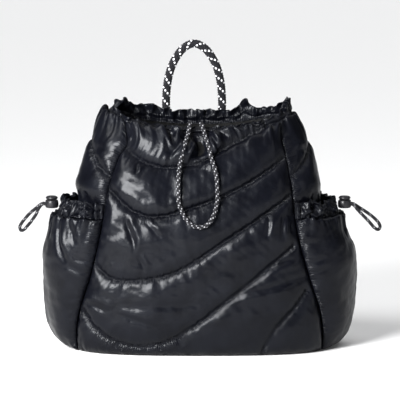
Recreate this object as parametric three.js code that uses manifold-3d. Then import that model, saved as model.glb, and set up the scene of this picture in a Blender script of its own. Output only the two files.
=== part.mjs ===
// A quilted puffer backpack with two side pockets, a rope handle and a drawcord.
// Millimetres, +Z up, the front faces -Y and the wearer's straps are at +Y.

import * as THREE from 'three';
import { mergeVertices } from 'three/addons/utils/BufferGeometryUtils.js';
import Module from 'manifold-3d';

const wasm = await Module();
wasm.setup();

// Driving dimensions of the bag's body, measured on the lining
const BODY_HEIGHT = 274;
const BODY_WIDTH = 320;
const BODY_DEPTH = 146;
const SIDE_RISE = 18;
const BASE_THICKNESS = 8;

// Padding and cloth
const PADDING = 13;
const BACK_PADDING = 9;
const SEAM_THICKNESS = 3;
const PUFF_RADIUS = 26;
const CLEARANCE = 0.3;
const CLOTH_THICKNESS = 2;

// Gathered collar round the mouth
const COLLAR_HEIGHT = 19;
const COLLAR_FOLD = 2.6;
const CINCH_DEPTH = 9;
const CINCH_WIDTH = 46;
const CREASE_DEPTH = 8;
const CREASE_WIDTH = 14;

// Side pockets
const POCKET_HEIGHT = 168;
const POCKET_FOOT = 3;
const POCKET_BULGE = 27;
const POCKET_PADDING = 8;
const POCKET_RUFFLE_HEIGHT = 21;
const POCKET_RUFFLE_FOLD = 2.6;
const POCKET_RUFFLE_FOLDS = 7;
const POCKET_RUFFLE_LEAN = { left: 18, right: 16 };
const POCKET_RUFFLE_ROWS = 3;
const MOUTH_DRAW = { left: 1.02, right: 0.86 };

// Rope handle
const HANDLE_DIAMETER = 10;
const HANDLE_SPAN = 71;
const HANDLE_RISE = 82;
const HANDLE_CENTRE_X = -7;
const HANDLE_SEAT = 7;

// Cords
const DRAWCORD_DIAMETER = 5;
const POCKET_CORD_DIAMETER = 4;
const CORD_SIDES = 8;
const DRAWCORD_STEPS = 36;
const POCKET_CORD_STEPS = 22;

// Cord locks
const LOCK_DIAMETER = 17;
const LOCK_HEIGHT = 10;
const LOCK_BUTTON_DIAMETER = 15;
const LOCK_BUTTON_HEIGHT = 5;
const LOCK_BORE_CLEARANCE = 0.4;
const LOCK_BORE_SPACING = 5.6;
const LOCK_EDGE = 1.2;
const LOCK_SILL = 174.5;
const LOCK_SEAT = 0.6;

// Shoulder straps
const STRAP_WIDTH = 52;
const STRAP_THICKNESS = 9;
const WEBBING_WIDTH = 25;
const WEBBING_THICKNESS = 1.6;
const STRAP_LOCK_WIDTH = 34;
const STRAP_LOCK_LENGTH = 30;
const STRAP_LOCK_THICKNESS = 5;
const STRAP_LOCK_SLOT = 5;
const STRAP_LOCK_SEAT = 0.8;
const WEBBING_SEAT = 1.2;

// How finely the walls are faceted
const WALL_ROWS = 21;
const FRONT_COLUMNS = 28;
const GUSSET_COLUMNS = 9;
const BACK_COLUMNS = 13;
const COLLAR_COLUMNS = 96;
const COLLAR_ROWS = 2;
const POCKET_COLUMNS = 12;
const POCKET_ROWS = 13;

// Level sections of the lining, as shares of the body's height, half width and half depth
const SECTIONS = [
  { height: 0.00, width: 0.975, depth: 0.93, lean: 0.00, square: 2.9 },
  { height: 0.08, width: 1.000, depth: 0.98, lean: 0.00, square: 2.9 },
  { height: 0.25, width: 1.000, depth: 1.00, lean: 0.00, square: 2.8 },
  { height: 0.50, width: 0.970, depth: 0.98, lean: 0.00, square: 2.6 },
  { height: 0.70, width: 0.905, depth: 0.92, lean: 0.01, square: 2.5 },
  { height: 0.80, width: 0.860, depth: 0.86, lean: 0.02, square: 2.4 },
  { height: 0.89, width: 0.810, depth: 0.78, lean: 0.03, square: 2.3 },
  { height: 0.96, width: 0.757, depth: 0.70, lean: 0.04, square: 2.2 },
  { height: 1.00, width: 0.705, depth: 0.65, lean: 0.05, square: 2.2 },
];

// Where the front seams run, as shares of the section's half width
const FRONT_SEAMS = [
  { height: 0.00, left: 0.95, right: 0.95 },
  { height: 0.18, left: 0.90, right: 0.90 },
  { height: 0.34, left: 0.83, right: 0.83 },
  { height: 0.53, left: 0.78, right: 0.77 },
  { height: 0.75, left: 0.77, right: 0.78 },
  { height: 0.87, left: 0.73, right: 0.79 },
  { height: 0.92, left: 0.69, right: 0.79 },
  { height: 1.00, left: 0.80, right: 0.84 },
];
const BACK_SEAM = 0.80;

// Quilt lines of the front, as shares of the half width and the height
const QUILT_LINES = [
  [
    { across: -0.57, up: 0.905 }, { across: -0.43, up: 0.860 }, { across: -0.25, up: 0.842 },
    { across: 0.00, up: 0.865 }, { across: 0.23, up: 0.925 }, { across: 0.58, up: 0.995 },
  ],
  [
    { across: -0.69, up: 0.740 }, { across: -0.50, up: 0.650 }, { across: -0.30, up: 0.632 },
    { across: 0.15, up: 0.715 }, { across: 0.40, up: 0.780 }, { across: 0.66, up: 0.865 },
  ],
  [
    { across: -0.80, up: 0.415 }, { across: -0.66, up: 0.350 }, { across: -0.40, up: 0.352 },
    { across: -0.15, up: 0.395 }, { across: 0.20, up: 0.525 }, { across: 0.71, up: 0.715 },
  ],
  [
    { across: -0.89, up: 0.205 }, { across: -0.76, up: 0.110 }, { across: -0.48, up: 0.065 },
    { across: -0.15, up: 0.105 }, { across: 0.23, up: 0.265 }, { across: 0.71, up: 0.490 },
  ],
  [
    { across: 0.81, up: 0.290 }, { across: 0.72, up: 0.215 }, { across: 0.60, up: 0.140 },
    { across: 0.43, up: 0.010 },
  ],
];

// Quilt lines of the side walls, from the front seam to the back seam
const GUSSET_QUILT = [
  { front: 0.79, middle: 0.90, back: 0.84 },
  { front: 0.99, middle: 0.945, back: 0.975 },
];

// Top edge of the collar: degrees round from the front centre, then shares of its height
const COLLAR_TOP = [
  { round: -180, rise: 0.98, flare: 0.10 },
  { round: -158, rise: 0.92, flare: 0.10 },
  { round: -146, rise: 1.12, flare: 0.20 },
  { round: -128, rise: 1.20, flare: 0.05 },
  { round: -112, rise: 1.42, flare: 0.00 },
  { round: -100, rise: 1.30, flare: -0.10 },
  { round: -90, rise: 1.06, flare: -0.20 },
  { round: -70, rise: 1.15, flare: -0.25 },
  { round: -55, rise: 0.90, flare: -0.15 },
  { round: -35, rise: 0.74, flare: -0.10 },
  { round: 0, rise: 0.80, flare: -0.10 },
  { round: 30, rise: 0.78, flare: -0.10 },
  { round: 52, rise: 0.74, flare: -0.15 },
  { round: 70, rise: 0.98, flare: -0.25 },
  { round: 90, rise: 1.12, flare: -0.15 },
  { round: 108, rise: 1.45, flare: 0.00 },
  { round: 126, rise: 0.96, flare: 0.00 },
  { round: 138, rise: 0.84, flare: 0.10 },
  { round: 146, rise: 1.50, flare: 0.25 },
  { round: 154, rise: 1.02, flare: 0.10 },
  { round: 180, rise: 0.98, flare: 0.10 },
];

// Folds that run down from the gathered mouth: where, how wide and how deep
const MOUTH_FOLDS = [
  { round: -62, width: 9, depth: 3.0 },
  { round: -34, width: 8, depth: 3.0 },
  { round: -18, width: 6, depth: 4.0 },
  { round: 14, width: 6, depth: 4.0 },
  { round: 30, width: 8, depth: 3.5 },
  { round: 58, width: 9, depth: 3.0 },
  { round: 100, width: 9, depth: 2.5 },
  { round: 140, width: 9, depth: 2.5 },
  { round: 178, width: 9, depth: 2.5 },
  { round: -140, width: 9, depth: 2.5 },
  { round: -100, width: 9, depth: 2.5 },
];
const FOLD_REACH = 46;

// Outward swell of a pocket from its foot to its mouth
const POCKET_PROFILE = [
  { up: 0.00, swell: 0.05 },
  { up: 0.08, swell: 0.45 },
  { up: 0.25, swell: 0.78 },
  { up: 0.45, swell: 0.90 },
  { up: 0.66, swell: 1.00 },
  { up: 0.85, swell: 1.04 },
  { up: 1.00, swell: 1.10 },
];

// The rope handle's arch, as shares of its half span and its rise
const HANDLE_ARCH = [
  { across: -0.958, up: 0.000 },
  { across: -0.990, up: 0.185 },
  { across: -1.000, up: 0.354 },
  { across: -0.940, up: 0.560 },
  { across: -0.780, up: 0.750 },
  { across: -0.500, up: 0.905 },
  { across: -0.230, up: 0.980 },
  { across: 0.000, up: 1.000 },
];

// A shoulder strap from its top seam to its lock, then its webbing down to the bottom corner
const STRAP_ROUTE = [
  { along: 0.00, across: 0.22, up: 0.955, off: 0.00, width: 0.78 },
  { along: 0.14, across: 0.25, up: 0.885, off: 0.42, width: 0.96 },
  { along: 0.32, across: 0.30, up: 0.780, off: 0.86, width: 1.00 },
  { along: 0.52, across: 0.36, up: 0.665, off: 1.00, width: 1.00 },
  { along: 0.72, across: 0.43, up: 0.550, off: 0.92, width: 1.00 },
  { along: 0.88, across: 0.48, up: 0.460, off: 0.74, width: 0.86 },
  { along: 1.00, across: 0.51, up: 0.390, off: 0.60, width: 0.58 },
];
const WEBBING_END = { across: 0.645, up: 0.045 };
const STRAP_STANDOFF = 24;
const STRAP_SEAT = 1.7;

// Cord routes, points chosen by hand along the shapes that the cords lie in
const DRAWCORD_ROUTE = [
  [-11.4, -37.8, 284.4], [-11.8, -41.6, 283.0], [-12.8, -45.4, 278.4], [-14.4, -50.0, 271.8],
  [-16.9, -57.2, 264.4], [-19.9, -63.8, 253.7], [-23.0, -67.8, 241.8], [-25.0, -72.6, 230.0],
  [-25.7, -77.8, 218.6], [-25.7, -80.8, 205.6], [-25.0, -81.4, 191.5], [-20.8, -82.2, 180.0],
  [-16.0, -84.4, 171.8], [-9.2, -86.2, 165.5], [-0.7, -86.8, 162.9], [7.7, -86.6, 164.8],
  [14.6, -85.8, 172.0], [18.7, -83.9, 181.5], [21.6, -80.2, 194.3], [21.6, -78.4, 208.9],
  [20.9, -77.0, 221.0], [18.7, -73.4, 232.8], [14.7, -67.0, 244.1], [11.2, -60.0, 258.0],
  [7.3, -52.2, 269.6], [4.4, -45.6, 278.8], [2.6, -41.8, 283.2], [1.7, -38.4, 284.4],
];
const POCKET_CORD_ROUTES = {
  left: [
    [-187.5, 2.8, 179.5], [-196.2, 2.8, 179.5], [-201.8, 3.2, 176.0], [-207.0, 3.6, 171.6],
    [-212.6, 4.0, 166.9], [-218.3, 4.4, 160.6], [-223.0, 4.6, 154.6], [-225.4, 3.6, 149.4],
    [-223.6, 0.0, 145.8], [-219.4, -3.6, 147.6], [-213.6, -4.6, 154.0], [-208.6, -4.4, 160.4],
    [-204.0, -4.0, 167.4], [-200.8, -3.2, 174.4], [-196.2, -2.8, 179.3], [-187.5, -2.8, 179.5],
  ],
  right: [
    [179.4, 2.8, 179.5], [190.8, 2.8, 179.5], [195.4, 3.0, 177.4], [199.6, 3.2, 174.6],
    [204.8, 3.6, 171.2], [211.6, 4.2, 166.6], [218.4, 4.6, 161.2], [223.6, 4.6, 155.8],
    [226.2, 3.4, 150.4], [223.8, 0.0, 147.0], [218.8, -3.4, 149.6], [213.6, -4.4, 155.4],
    [208.0, -4.4, 161.6], [201.8, -4.0, 167.8], [196.2, -3.2, 174.0], [190.9, -2.8, 179.3],
    [179.4, -2.8, 179.5],
  ],
};

const HALF_WIDTH = BODY_WIDTH / 2;
const HALF_DEPTH = BODY_DEPTH / 2;
const FOOT = BASE_THICKNESS + CLEARANCE;
const LOCK_BORE = POCKET_CORD_DIAMETER + 2 * LOCK_BORE_CLEARANCE;

/** Reads one column of a table at any key, on a smooth curve through its rows. */
function read(table, key, at, column) {
  const last = table.length - 1;
  if (at <= table[0][key]) return table[0][column];
  if (at >= table[last][key]) return table[last][column];
  const i = table.findIndex((row) => row[key] > at) - 1;
  const slope = (k) => {
    const before = table[Math.max(k - 1, 0)];
    const after = table[Math.min(k + 1, last)];
    return (after[column] - before[column]) / (after[key] - before[key]);
  };
  const span = table[i + 1][key] - table[i][key];
  const s = (at - table[i][key]) / span;
  const rise = s * s * (3 - 2 * s);
  const level = (1 - rise) * table[i][column] + rise * table[i + 1][column];
  return level + span * s * (1 - s) * ((1 - s) * slope(i) - s * slope(i + 1));
}

const radians = THREE.MathUtils.degToRad;
const mix = THREE.MathUtils.lerp;
const bell = (distance, width) => Math.exp(-((distance / width) ** 2));
const handOf = (side) => (side < 0 ? 'left' : 'right');

/** Distance round from one direction to another, in degrees from 0 to 180. */
function turn(from, to) {
  const gap = Math.abs(from - to) % 360;
  return Math.min(gap, 360 - gap);
}

/** Point on the lining: degrees round from the front centre and a share of the height. */
function liningPoint(round, height) {
  const level = Math.max(height, 0);
  const column = (name) => read(SECTIONS, 'height', level, name);
  const side = Math.sin(radians(round));
  const front = Math.cos(radians(round));
  const square = column('square');
  const reach = (Math.abs(side) ** square + Math.abs(front) ** square) ** (-1 / square);
  const x = HALF_WIDTH * column('width') * side * reach;
  const cinch = front > 0 ? CINCH_DEPTH * level ** 10 * bell(x, CINCH_WIDTH) : 0;
  const y = HALF_DEPTH * (column('lean') - column('depth') * front * reach) + cinch;
  const z = FOOT + (BODY_HEIGHT - FOOT) * height + SIDE_RISE * level ** 3 * side ** 2;
  return new THREE.Vector3(x, y, z);
}

/** Outward direction of the lining at a point, level at the foot and at the top edge. */
function liningNormal(round, height) {
  const level = THREE.MathUtils.clamp(height, 0.004, 0.996);
  const across = liningPoint(round + 0.5, level).sub(liningPoint(round - 0.5, level));
  const up = liningPoint(round, level + 0.004).sub(liningPoint(round, level - 0.004));
  const normal = across.cross(up).normalize();
  normal.z *= THREE.MathUtils.smoothstep(height, 0, 0.07) * (1 - THREE.MathUtils.smoothstep(height, 0.93, 1));
  return normal.normalize();
}

/** Point at a distance out from the lining. */
function wallPoint(round, height, off) {
  return liningPoint(round, height).addScaledVector(liningNormal(round, height), off);
}

/** Share of padding left at a distance from the nearest stitched line. */
function puff(distance) {
  const inside = 1 - THREE.MathUtils.clamp(distance / PUFF_RADIUS, 0, 1);
  return Math.sqrt(1 - inside * inside);
}

/** Depth of the folds that run down from the gathered mouth. */
function mouthFold(round, height) {
  const below = (1 - height) * BODY_HEIGHT;
  const fade = Math.exp(-below / FOLD_REACH);
  const depthOf = (fold) => fold.depth * fade * bell(turn(round, fold.round), fold.width);
  return MOUTH_FOLDS.reduce((sum, fold) => sum + depthOf(fold), 0);
}

/** A closed sheet between two surfaces, each a function of two shares. */
function sheetSolid(columns, rows, outer, inner, ring = false) {
  const positions = [];
  const across = ring ? columns : columns + 1;
  for (const surface of [outer, inner]) {
    for (let row = 0; row <= rows; row += 1) {
      for (let column = 0; column < across; column += 1) {
        positions.push(...surface(column / columns, row / rows).toArray());
      }
    }
  }
  const at = (layer, column, row) => (layer * (rows + 1) + row) * across + (column % across);
  const index = [];
  const quad = (a, b, c, d) => index.push(a, b, c, a, c, d);
  for (let column = 0; column < columns; column += 1) {
    const next = column + 1;
    for (let row = 0; row < rows; row += 1) {
      quad(at(0, column, row), at(0, next, row), at(0, next, row + 1), at(0, column, row + 1));
      quad(at(1, next, row), at(1, column, row), at(1, column, row + 1), at(1, next, row + 1));
    }
    quad(at(1, column, 0), at(1, next, 0), at(0, next, 0), at(0, column, 0));
    quad(at(0, column, rows), at(0, next, rows), at(1, next, rows), at(1, column, rows));
  }
  if (!ring) {
    for (let row = 0; row < rows; row += 1) {
      quad(at(1, 0, row), at(0, 0, row), at(0, 0, row + 1), at(1, 0, row + 1));
      quad(at(0, columns, row), at(1, columns, row), at(1, columns, row + 1), at(0, columns, row + 1));
    }
  }
  const geometry = new THREE.BufferGeometry();
  geometry.setAttribute('position', new THREE.Float32BufferAttribute(positions, 3));
  geometry.setIndex(index);
  geometry.computeVertexNormals();
  return geometry;
}

/** Degrees round at which a share of the half width lies, in front or behind. */
function seamRound(share, height, behind) {
  const square = read(SECTIONS, 'height', height, 'square');
  const size = Math.abs(share);
  const round = THREE.MathUtils.radToDeg(Math.atan2(size, (1 - size ** square) ** (1 / square)));
  return Math.sign(share) * (behind ? 180 - round : round);
}

/** The seam of one side at a height, moved along the wall by half the seam's clearance. */
function seamAt(side, height, behind, shift) {
  const share = behind ? BACK_SEAM : read(FRONT_SEAMS, 'height', Math.max(height, 0), handOf(side));
  const round = seamRound(side * share, THREE.MathUtils.clamp(height, 0, 1), behind);
  const perDegree = liningPoint(round + 0.5, height).distanceTo(liningPoint(round - 0.5, height));
  return round + (shift * CLEARANCE * 0.6) / perDegree;
}

// The front's quilt lines as points in millimetres, seen square on
const quiltPoints = QUILT_LINES.map((line) => {
  const curve = new THREE.CatmullRomCurve3(
    line.map(({ across, up }) => new THREE.Vector3(across * HALF_WIDTH, 0, up * BODY_HEIGHT)),
    false,
    'centripetal',
  );
  return curve.getSpacedPoints(30);
});

/** Distance from a point of the front to the nearest quilt line, seen square on. */
function quiltDistance(x, z) {
  let nearest = Infinity;
  for (const line of quiltPoints) {
    for (const point of line) nearest = Math.min(nearest, Math.hypot(point.x - x, point.z - z));
  }
  return nearest;
}

/** The quilted front wall. */
function frontPanel() {
  const round = (u, v) => mix(seamAt(-1, v, false, 1), seamAt(1, v, false, -1), u);
  const thickness = (u, v) => {
    const point = liningPoint(round(u, v), v);
    const edge = liningPoint(round(u < 0.5 ? 0 : 1, v), v);
    const toSeam = Math.abs(point.x - edge.x);
    const toEnds = Math.min(v, 1 - v) * BODY_HEIGHT;
    const swell = puff(Math.min(toSeam, toEnds, quiltDistance(point.x, point.z)));
    const crease = CREASE_DEPTH * bell(point.x + 4, CREASE_WIDTH) * THREE.MathUtils.smoothstep(v, 0.8, 0.93);
    const full = (PADDING - SEAM_THICKNESS) * swell - crease - mouthFold(round(u, v), v);
    return SEAM_THICKNESS + Math.max(full, 0);
  };
  return sheetSolid(
    FRONT_COLUMNS,
    WALL_ROWS,
    (u, v) => wallPoint(round(u, v), v, thickness(u, v)),
    (u, v) => wallPoint(round(u, v), v, 0),
  );
}

/** A side wall, thin behind its pocket and puffed above it. */
function gusset(side) {
  const fromSeam = (v) => (side > 0 ? seamAt(1, v, false, 1) : seamAt(-1, v, true, 1));
  const toSeam = (v) => (side > 0 ? seamAt(1, v, true, -1) : seamAt(-1, v, false, -1));
  const round = (u, v) => mix(fromSeam(v), toSeam(v), u);
  const pocketTop = (POCKET_HEIGHT - FOOT) / (BODY_HEIGHT - FOOT);
  const thickness = (u, v) => {
    const back = side > 0 ? u : 1 - u;
    const wide = liningPoint(fromSeam(v), v).distanceTo(liningPoint(toSeam(v), v));
    const toSeams = Math.min(u, 1 - u) * wide;
    const toQuilt = Math.min(...GUSSET_QUILT.map((line) => {
      const [from, to] = back < 0.5 ? [line.front, line.middle] : [line.middle, line.back];
      return Math.abs(v - mix(from, to, (2 * back) % 1)) * BODY_HEIGHT;
    }));
    const toTop = (1 - v) * BODY_HEIGHT;
    const abovePocket = THREE.MathUtils.smoothstep(v, pocketTop + 0.05, pocketTop + 0.2);
    const swell = puff(Math.min(toSeams, toQuilt, toTop));
    const full = (PADDING - SEAM_THICKNESS) * swell - mouthFold(round(u, v), v);
    return SEAM_THICKNESS + Math.max(full, 0) * abovePocket;
  };
  return sheetSolid(
    GUSSET_COLUMNS,
    WALL_ROWS,
    (u, v) => wallPoint(round(u, v), v, thickness(u, v)),
    (u, v) => wallPoint(round(u, v), v, 0),
  );
}

/** The plain back wall. */
function backPanel() {
  const from = (v) => seamAt(1, v, true, 1);
  const to = (v) => seamAt(-1, v, true, -1) + 360;
  const round = (u, v) => mix(from(v), to(v), u);
  const thickness = (u, v) => {
    const wide = liningPoint(from(v), v).distanceTo(liningPoint(to(v), v));
    const toEdge = Math.min(Math.min(u, 1 - u) * wide, Math.min(v, 1 - v) * BODY_HEIGHT);
    return SEAM_THICKNESS + (BACK_PADDING - SEAM_THICKNESS) * puff(toEdge);
  };
  return sheetSolid(
    BACK_COLUMNS,
    WALL_ROWS,
    (u, v) => wallPoint(round(u, v), v, thickness(u, v)),
    (u, v) => wallPoint(round(u, v), v, 0),
  );
}

// The base's rounded edge: height as a share of its thickness, and how far out it stands
const BASE_EDGE = [
  { up: 0.00, out: -5 },
  { up: 0.12, out: -1 },
  { up: 0.45, out: SEAM_THICKNESS },
  { up: 1.00, out: SEAM_THICKNESS },
];
const BASE_COLUMNS = 44;

/** The padded bottom, flat underneath. */
function basePanel() {
  const positions = [0, 0, 0];
  for (const { up, out } of BASE_EDGE) {
    for (let column = 0; column < BASE_COLUMNS; column += 1) {
      const point = liningPoint((360 * column) / BASE_COLUMNS, 0);
      const outward = liningNormal((360 * column) / BASE_COLUMNS, 0.004).setZ(0).normalize();
      point.addScaledVector(outward, out).setZ(up * BASE_THICKNESS);
      positions.push(...point.toArray());
    }
  }
  positions.push(0, 0, BASE_THICKNESS);
  const crown = positions.length / 3 - 1;
  const at = (ring, column) => 1 + ring * BASE_COLUMNS + (column % BASE_COLUMNS);
  const index = [];
  const top = BASE_EDGE.length - 1;
  for (let column = 0; column < BASE_COLUMNS; column += 1) {
    const next = column + 1;
    index.push(0, at(0, next), at(0, column));
    index.push(crown, at(top, column), at(top, next));
    for (let ring = 0; ring < top; ring += 1) {
      index.push(at(ring, column), at(ring, next), at(ring + 1, next));
      index.push(at(ring, column), at(ring + 1, next), at(ring + 1, column));
    }
  }
  const geometry = new THREE.BufferGeometry();
  geometry.setAttribute('position', new THREE.Float32BufferAttribute(positions, 3));
  geometry.setIndex(index);
  geometry.computeVertexNormals();
  return geometry;
}

/** The gathered collar that stands on the walls' top edges. */
function rimRuffle() {
  const folds = 24;
  const point = (u, v, off) => {
    const round = 360 * u - 180;
    const foot = liningPoint(round, 1);
    const outward = liningNormal(round, 0.98).setZ(0).normalize();
    const wave = COLLAR_FOLD * Math.sin(2 * Math.PI * folds * u) * mix(0.25, 1, v);
    const lean = COLLAR_HEIGHT * read(COLLAR_TOP, 'round', round, 'flare') * v;
    foot.addScaledVector(outward, off + wave + lean);
    foot.z += CLEARANCE + COLLAR_HEIGHT * read(COLLAR_TOP, 'round', round, 'rise') * v;
    return foot;
  };
  return sheetSolid(
    COLLAR_COLUMNS,
    COLLAR_ROWS,
    (u, v) => point(u, v, CLOTH_THICKNESS),
    (u, v) => point(u, v, 0),
    true,
  );
}

/** Degrees round of a pocket from its first seam to its last, at a height. */
function pocketRound(side, u, v) {
  const from = side > 0 ? seamAt(1, v, false, 1) : seamAt(-1, v, true, 1);
  const to = side > 0 ? seamAt(1, v, true, -1) : seamAt(-1, v, false, -1);
  return mix(from, to, u);
}

/** Distance from the lining to the inner face of a pocket. */
function pocketStandoff(side, u, up) {
  const belly = Math.sin(Math.PI * u) ** 0.7;
  const draw = mix(1, MOUTH_DRAW[handOf(side)], THREE.MathUtils.smoothstep(up, 0.6, 1));
  return SEAM_THICKNESS + CLEARANCE + POCKET_BULGE * belly * draw * read(POCKET_PROFILE, 'up', up, 'swell');
}

/** A padded side pocket, open at the top. */
function pocket(side) {
  const level = (v) => (mix(POCKET_FOOT, POCKET_HEIGHT, v) - FOOT) / (BODY_HEIGHT - FOOT);
  const point = (u, v, off) => {
    const stand = pocketStandoff(side, u, v) + off;
    const place = wallPoint(pocketRound(side, u, level(v)), Math.max(level(v), 0), stand);
    return place.setZ(mix(POCKET_FOOT, POCKET_HEIGHT, v));
  };
  const thickness = (u, v) => {
    const toEdge = Math.min(Math.min(u, 1 - u) * BODY_DEPTH, Math.min(v, 1 - v) * POCKET_HEIGHT);
    return SEAM_THICKNESS + (POCKET_PADDING - SEAM_THICKNESS) * puff(toEdge);
  };
  return sheetSolid(
    POCKET_COLUMNS,
    POCKET_ROWS,
    (u, v) => point(u, v, thickness(u, v)),
    (u, v) => point(u, v, 0),
  );
}

/** Height of a pocket ruffle's top edge above its foot, as a share. */
function ruffleRise(u) {
  return 0.92 + 0.1 * Math.sin(5 * Math.PI * u + 0.6);
}

/** Point on the gathered band round a pocket's mouth. */
function pocketRufflePoint(side, u, v, off) {
  const level = (POCKET_HEIGHT - FOOT) / (BODY_HEIGHT - FOOT);
  const pinched = 1 - bell(u - 0.5, 0.09);
  const fold = POCKET_RUFFLE_FOLD * mix(0.2, 1, v) * pinched;
  const wave = fold * Math.sin(2 * Math.PI * POCKET_RUFFLE_FOLDS * u);
  const belly = Math.sin(Math.PI * u) ** 0.9;
  const lean = POCKET_RUFFLE_LEAN[handOf(side)] * Math.sqrt(v);
  const stand = pocketStandoff(side, u, 1) + (wave - lean) * belly;
  const place = wallPoint(pocketRound(side, u, level), level, stand + off);
  return place.setZ(POCKET_HEIGHT + CLEARANCE + POCKET_RUFFLE_HEIGHT * ruffleRise(u) * v);
}

/** The gathered band round a pocket's mouth. */
function pocketRuffle(side) {
  return sheetSolid(
    POCKET_RUFFLE_FOLDS * 6,
    POCKET_RUFFLE_ROWS,
    (u, v) => pocketRufflePoint(side, u, v, CLOTH_THICKNESS),
    (u, v) => pocketRufflePoint(side, u, v, 0),
  );
}

/** How far out a cord lock stands, just clear of the ruffle that it draws in. */
function lockReach(side) {
  const atSill = (LOCK_SILL - POCKET_HEIGHT) / POCKET_RUFFLE_HEIGHT;
  const ruffle = Math.abs(pocketRufflePoint(side, 0.5, atSill, CLOTH_THICKNESS).x);
  return ruffle + LOCK_SEAT + LOCK_DIAMETER / 2;
}

/** A round section for a tube. */
function roundSection(diameter, sides) {
  const shape = new THREE.Shape();
  for (let side = 0; side < sides; side += 1) {
    const angle = (2 * Math.PI * side) / sides;
    const x = (diameter / 2) * Math.cos(angle);
    const y = (diameter / 2) * Math.sin(angle);
    if (side === 0) shape.moveTo(x, y);
    else shape.lineTo(x, y);
  }
  shape.closePath();
  return shape;
}

/** A closed tube along a curve. */
function tube(curve, diameter, sides, steps) {
  const options = { steps, extrudePath: curve, bevelEnabled: false };
  return new THREE.ExtrudeGeometry(roundSection(diameter, sides), options);
}

/** The lining of the back wall at a distance across and a share of the height. */
function backLining(x, height) {
  const square = read(SECTIONS, 'height', height, 'square');
  const wide = HALF_WIDTH * read(SECTIONS, 'height', height, 'width');
  const deep = HALF_DEPTH * read(SECTIONS, 'height', height, 'depth');
  const lean = HALF_DEPTH * read(SECTIONS, 'height', height, 'lean');
  return lean + deep * (1 - Math.abs(x / wide) ** square) ** (1 / square);
}

/** The outer face of the back wall at a distance across and a share of the height. */
function backFace(x, height) {
  const wide = HALF_WIDTH * read(SECTIONS, 'height', height, 'width');
  const toEdge = Math.min(BACK_SEAM * wide - Math.abs(x), height * BODY_HEIGHT, (1 - height) * BODY_HEIGHT);
  const padding = SEAM_THICKNESS + (BACK_PADDING - SEAM_THICKNESS) * puff(Math.max(toEdge, 0));
  const across = backLining(x + 0.5, height) - backLining(x - 0.5, height);
  const up = backLining(x, height + 0.5 / BODY_HEIGHT) - backLining(x, height - 0.5 / BODY_HEIGHT);
  return backLining(x, height) + padding * Math.hypot(1, across, up);
}

/** The rope handle, whose feet are sewn behind the collar on the back wall's top edge. */
function handleRope() {
  const left = HANDLE_ARCH.slice(0, -1);
  const right = [...HANDLE_ARCH].reverse().map(({ across, up }) => ({ across: -across, up }));
  const foot = BODY_HEIGHT - HANDLE_SEAT;
  const innerSide = (end) => Math.abs(HANDLE_CENTRE_X + (end * HANDLE_SPAN) / 2) - HANDLE_DIAMETER / 2;
  const footY = (end) => backFace(innerSide(end), foot / BODY_HEIGHT);
  const rise = HANDLE_SEAT + COLLAR_HEIGHT + HANDLE_RISE;
  const points = [...left, ...right].map(({ across, up }) => new THREE.Vector3(
    HANDLE_CENTRE_X + (across * HANDLE_SPAN) / 2,
    mix(footY(-1), footY(1), (across + 1) / 2) + 2 * CLEARANCE + HANDLE_DIAMETER / 2,
    foot + up * rise,
  ));
  return tube(new THREE.CatmullRomCurve3(points, false, 'centripetal'), HANDLE_DIAMETER, 10, 36);
}

/** Point on the inner face of a shoulder strap, at a share of its way down. */
function strapPoint(side, v) {
  const x = side * HALF_WIDTH * read(STRAP_ROUTE, 'along', v, 'across');
  const height = read(STRAP_ROUTE, 'along', v, 'up');
  const off = STRAP_STANDOFF * read(STRAP_ROUTE, 'along', v, 'off');
  return new THREE.Vector3(x, backFace(x, height) + STRAP_SEAT + off, height * BODY_HEIGHT);
}

/** Directions across, along and out of a route at a share of its way. */
function routeFrame(place, v) {
  const along = place(Math.min(v + 0.02, 1)).sub(place(Math.max(v - 0.02, 0))).normalize();
  const across = along.clone().cross(new THREE.Vector3(0, 1, 0)).normalize();
  return { across, along, outward: across.clone().cross(along).normalize() };
}

/** A flat band down a route on the back, of a width and a thickness. */
function backBand(place, columns, rows, widthAt, thicknessAt) {
  const point = (u, v, off) => {
    const { across, outward } = routeFrame(place, v);
    const middle = place(v);
    const standoff = middle.y - backFace(middle.x, middle.z / BODY_HEIGHT);
    const inner = middle.addScaledVector(across, (u - 0.5) * widthAt(v));
    inner.y = backFace(inner.x, inner.z / BODY_HEIGHT) + standoff;
    return inner.addScaledVector(outward, off);
  };
  return sheetSolid(
    columns,
    rows,
    (u, v) => point(u, v, thicknessAt(u, v)),
    (u, v) => point(u, v, 0),
  );
}

/** A padded shoulder strap. */
function strap(side) {
  const width = (v) => STRAP_WIDTH * read(STRAP_ROUTE, 'along', v, 'width');
  const thickness = (u, v) => {
    const toEdge = Math.min(Math.min(u, 1 - u) * width(v), Math.min(v, 1 - v) * BODY_HEIGHT / 2);
    return SEAM_THICKNESS + (STRAP_THICKNESS - SEAM_THICKNESS) * puff(Math.min(2 * toEdge, PUFF_RADIUS));
  };
  return backBand((v) => strapPoint(side, v), 6, 14, width, thickness);
}

/** Middle of a strap's lock, just below the strap's end, with its directions. */
function strapLockFrame(side) {
  const frame = routeFrame((v) => strapPoint(side, v), 1);
  const centre = strapPoint(side, 1).addScaledVector(frame.along, STRAP_LOCK_LENGTH / 2 + STRAP_LOCK_SEAT);
  return { ...frame, centre };
}

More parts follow.
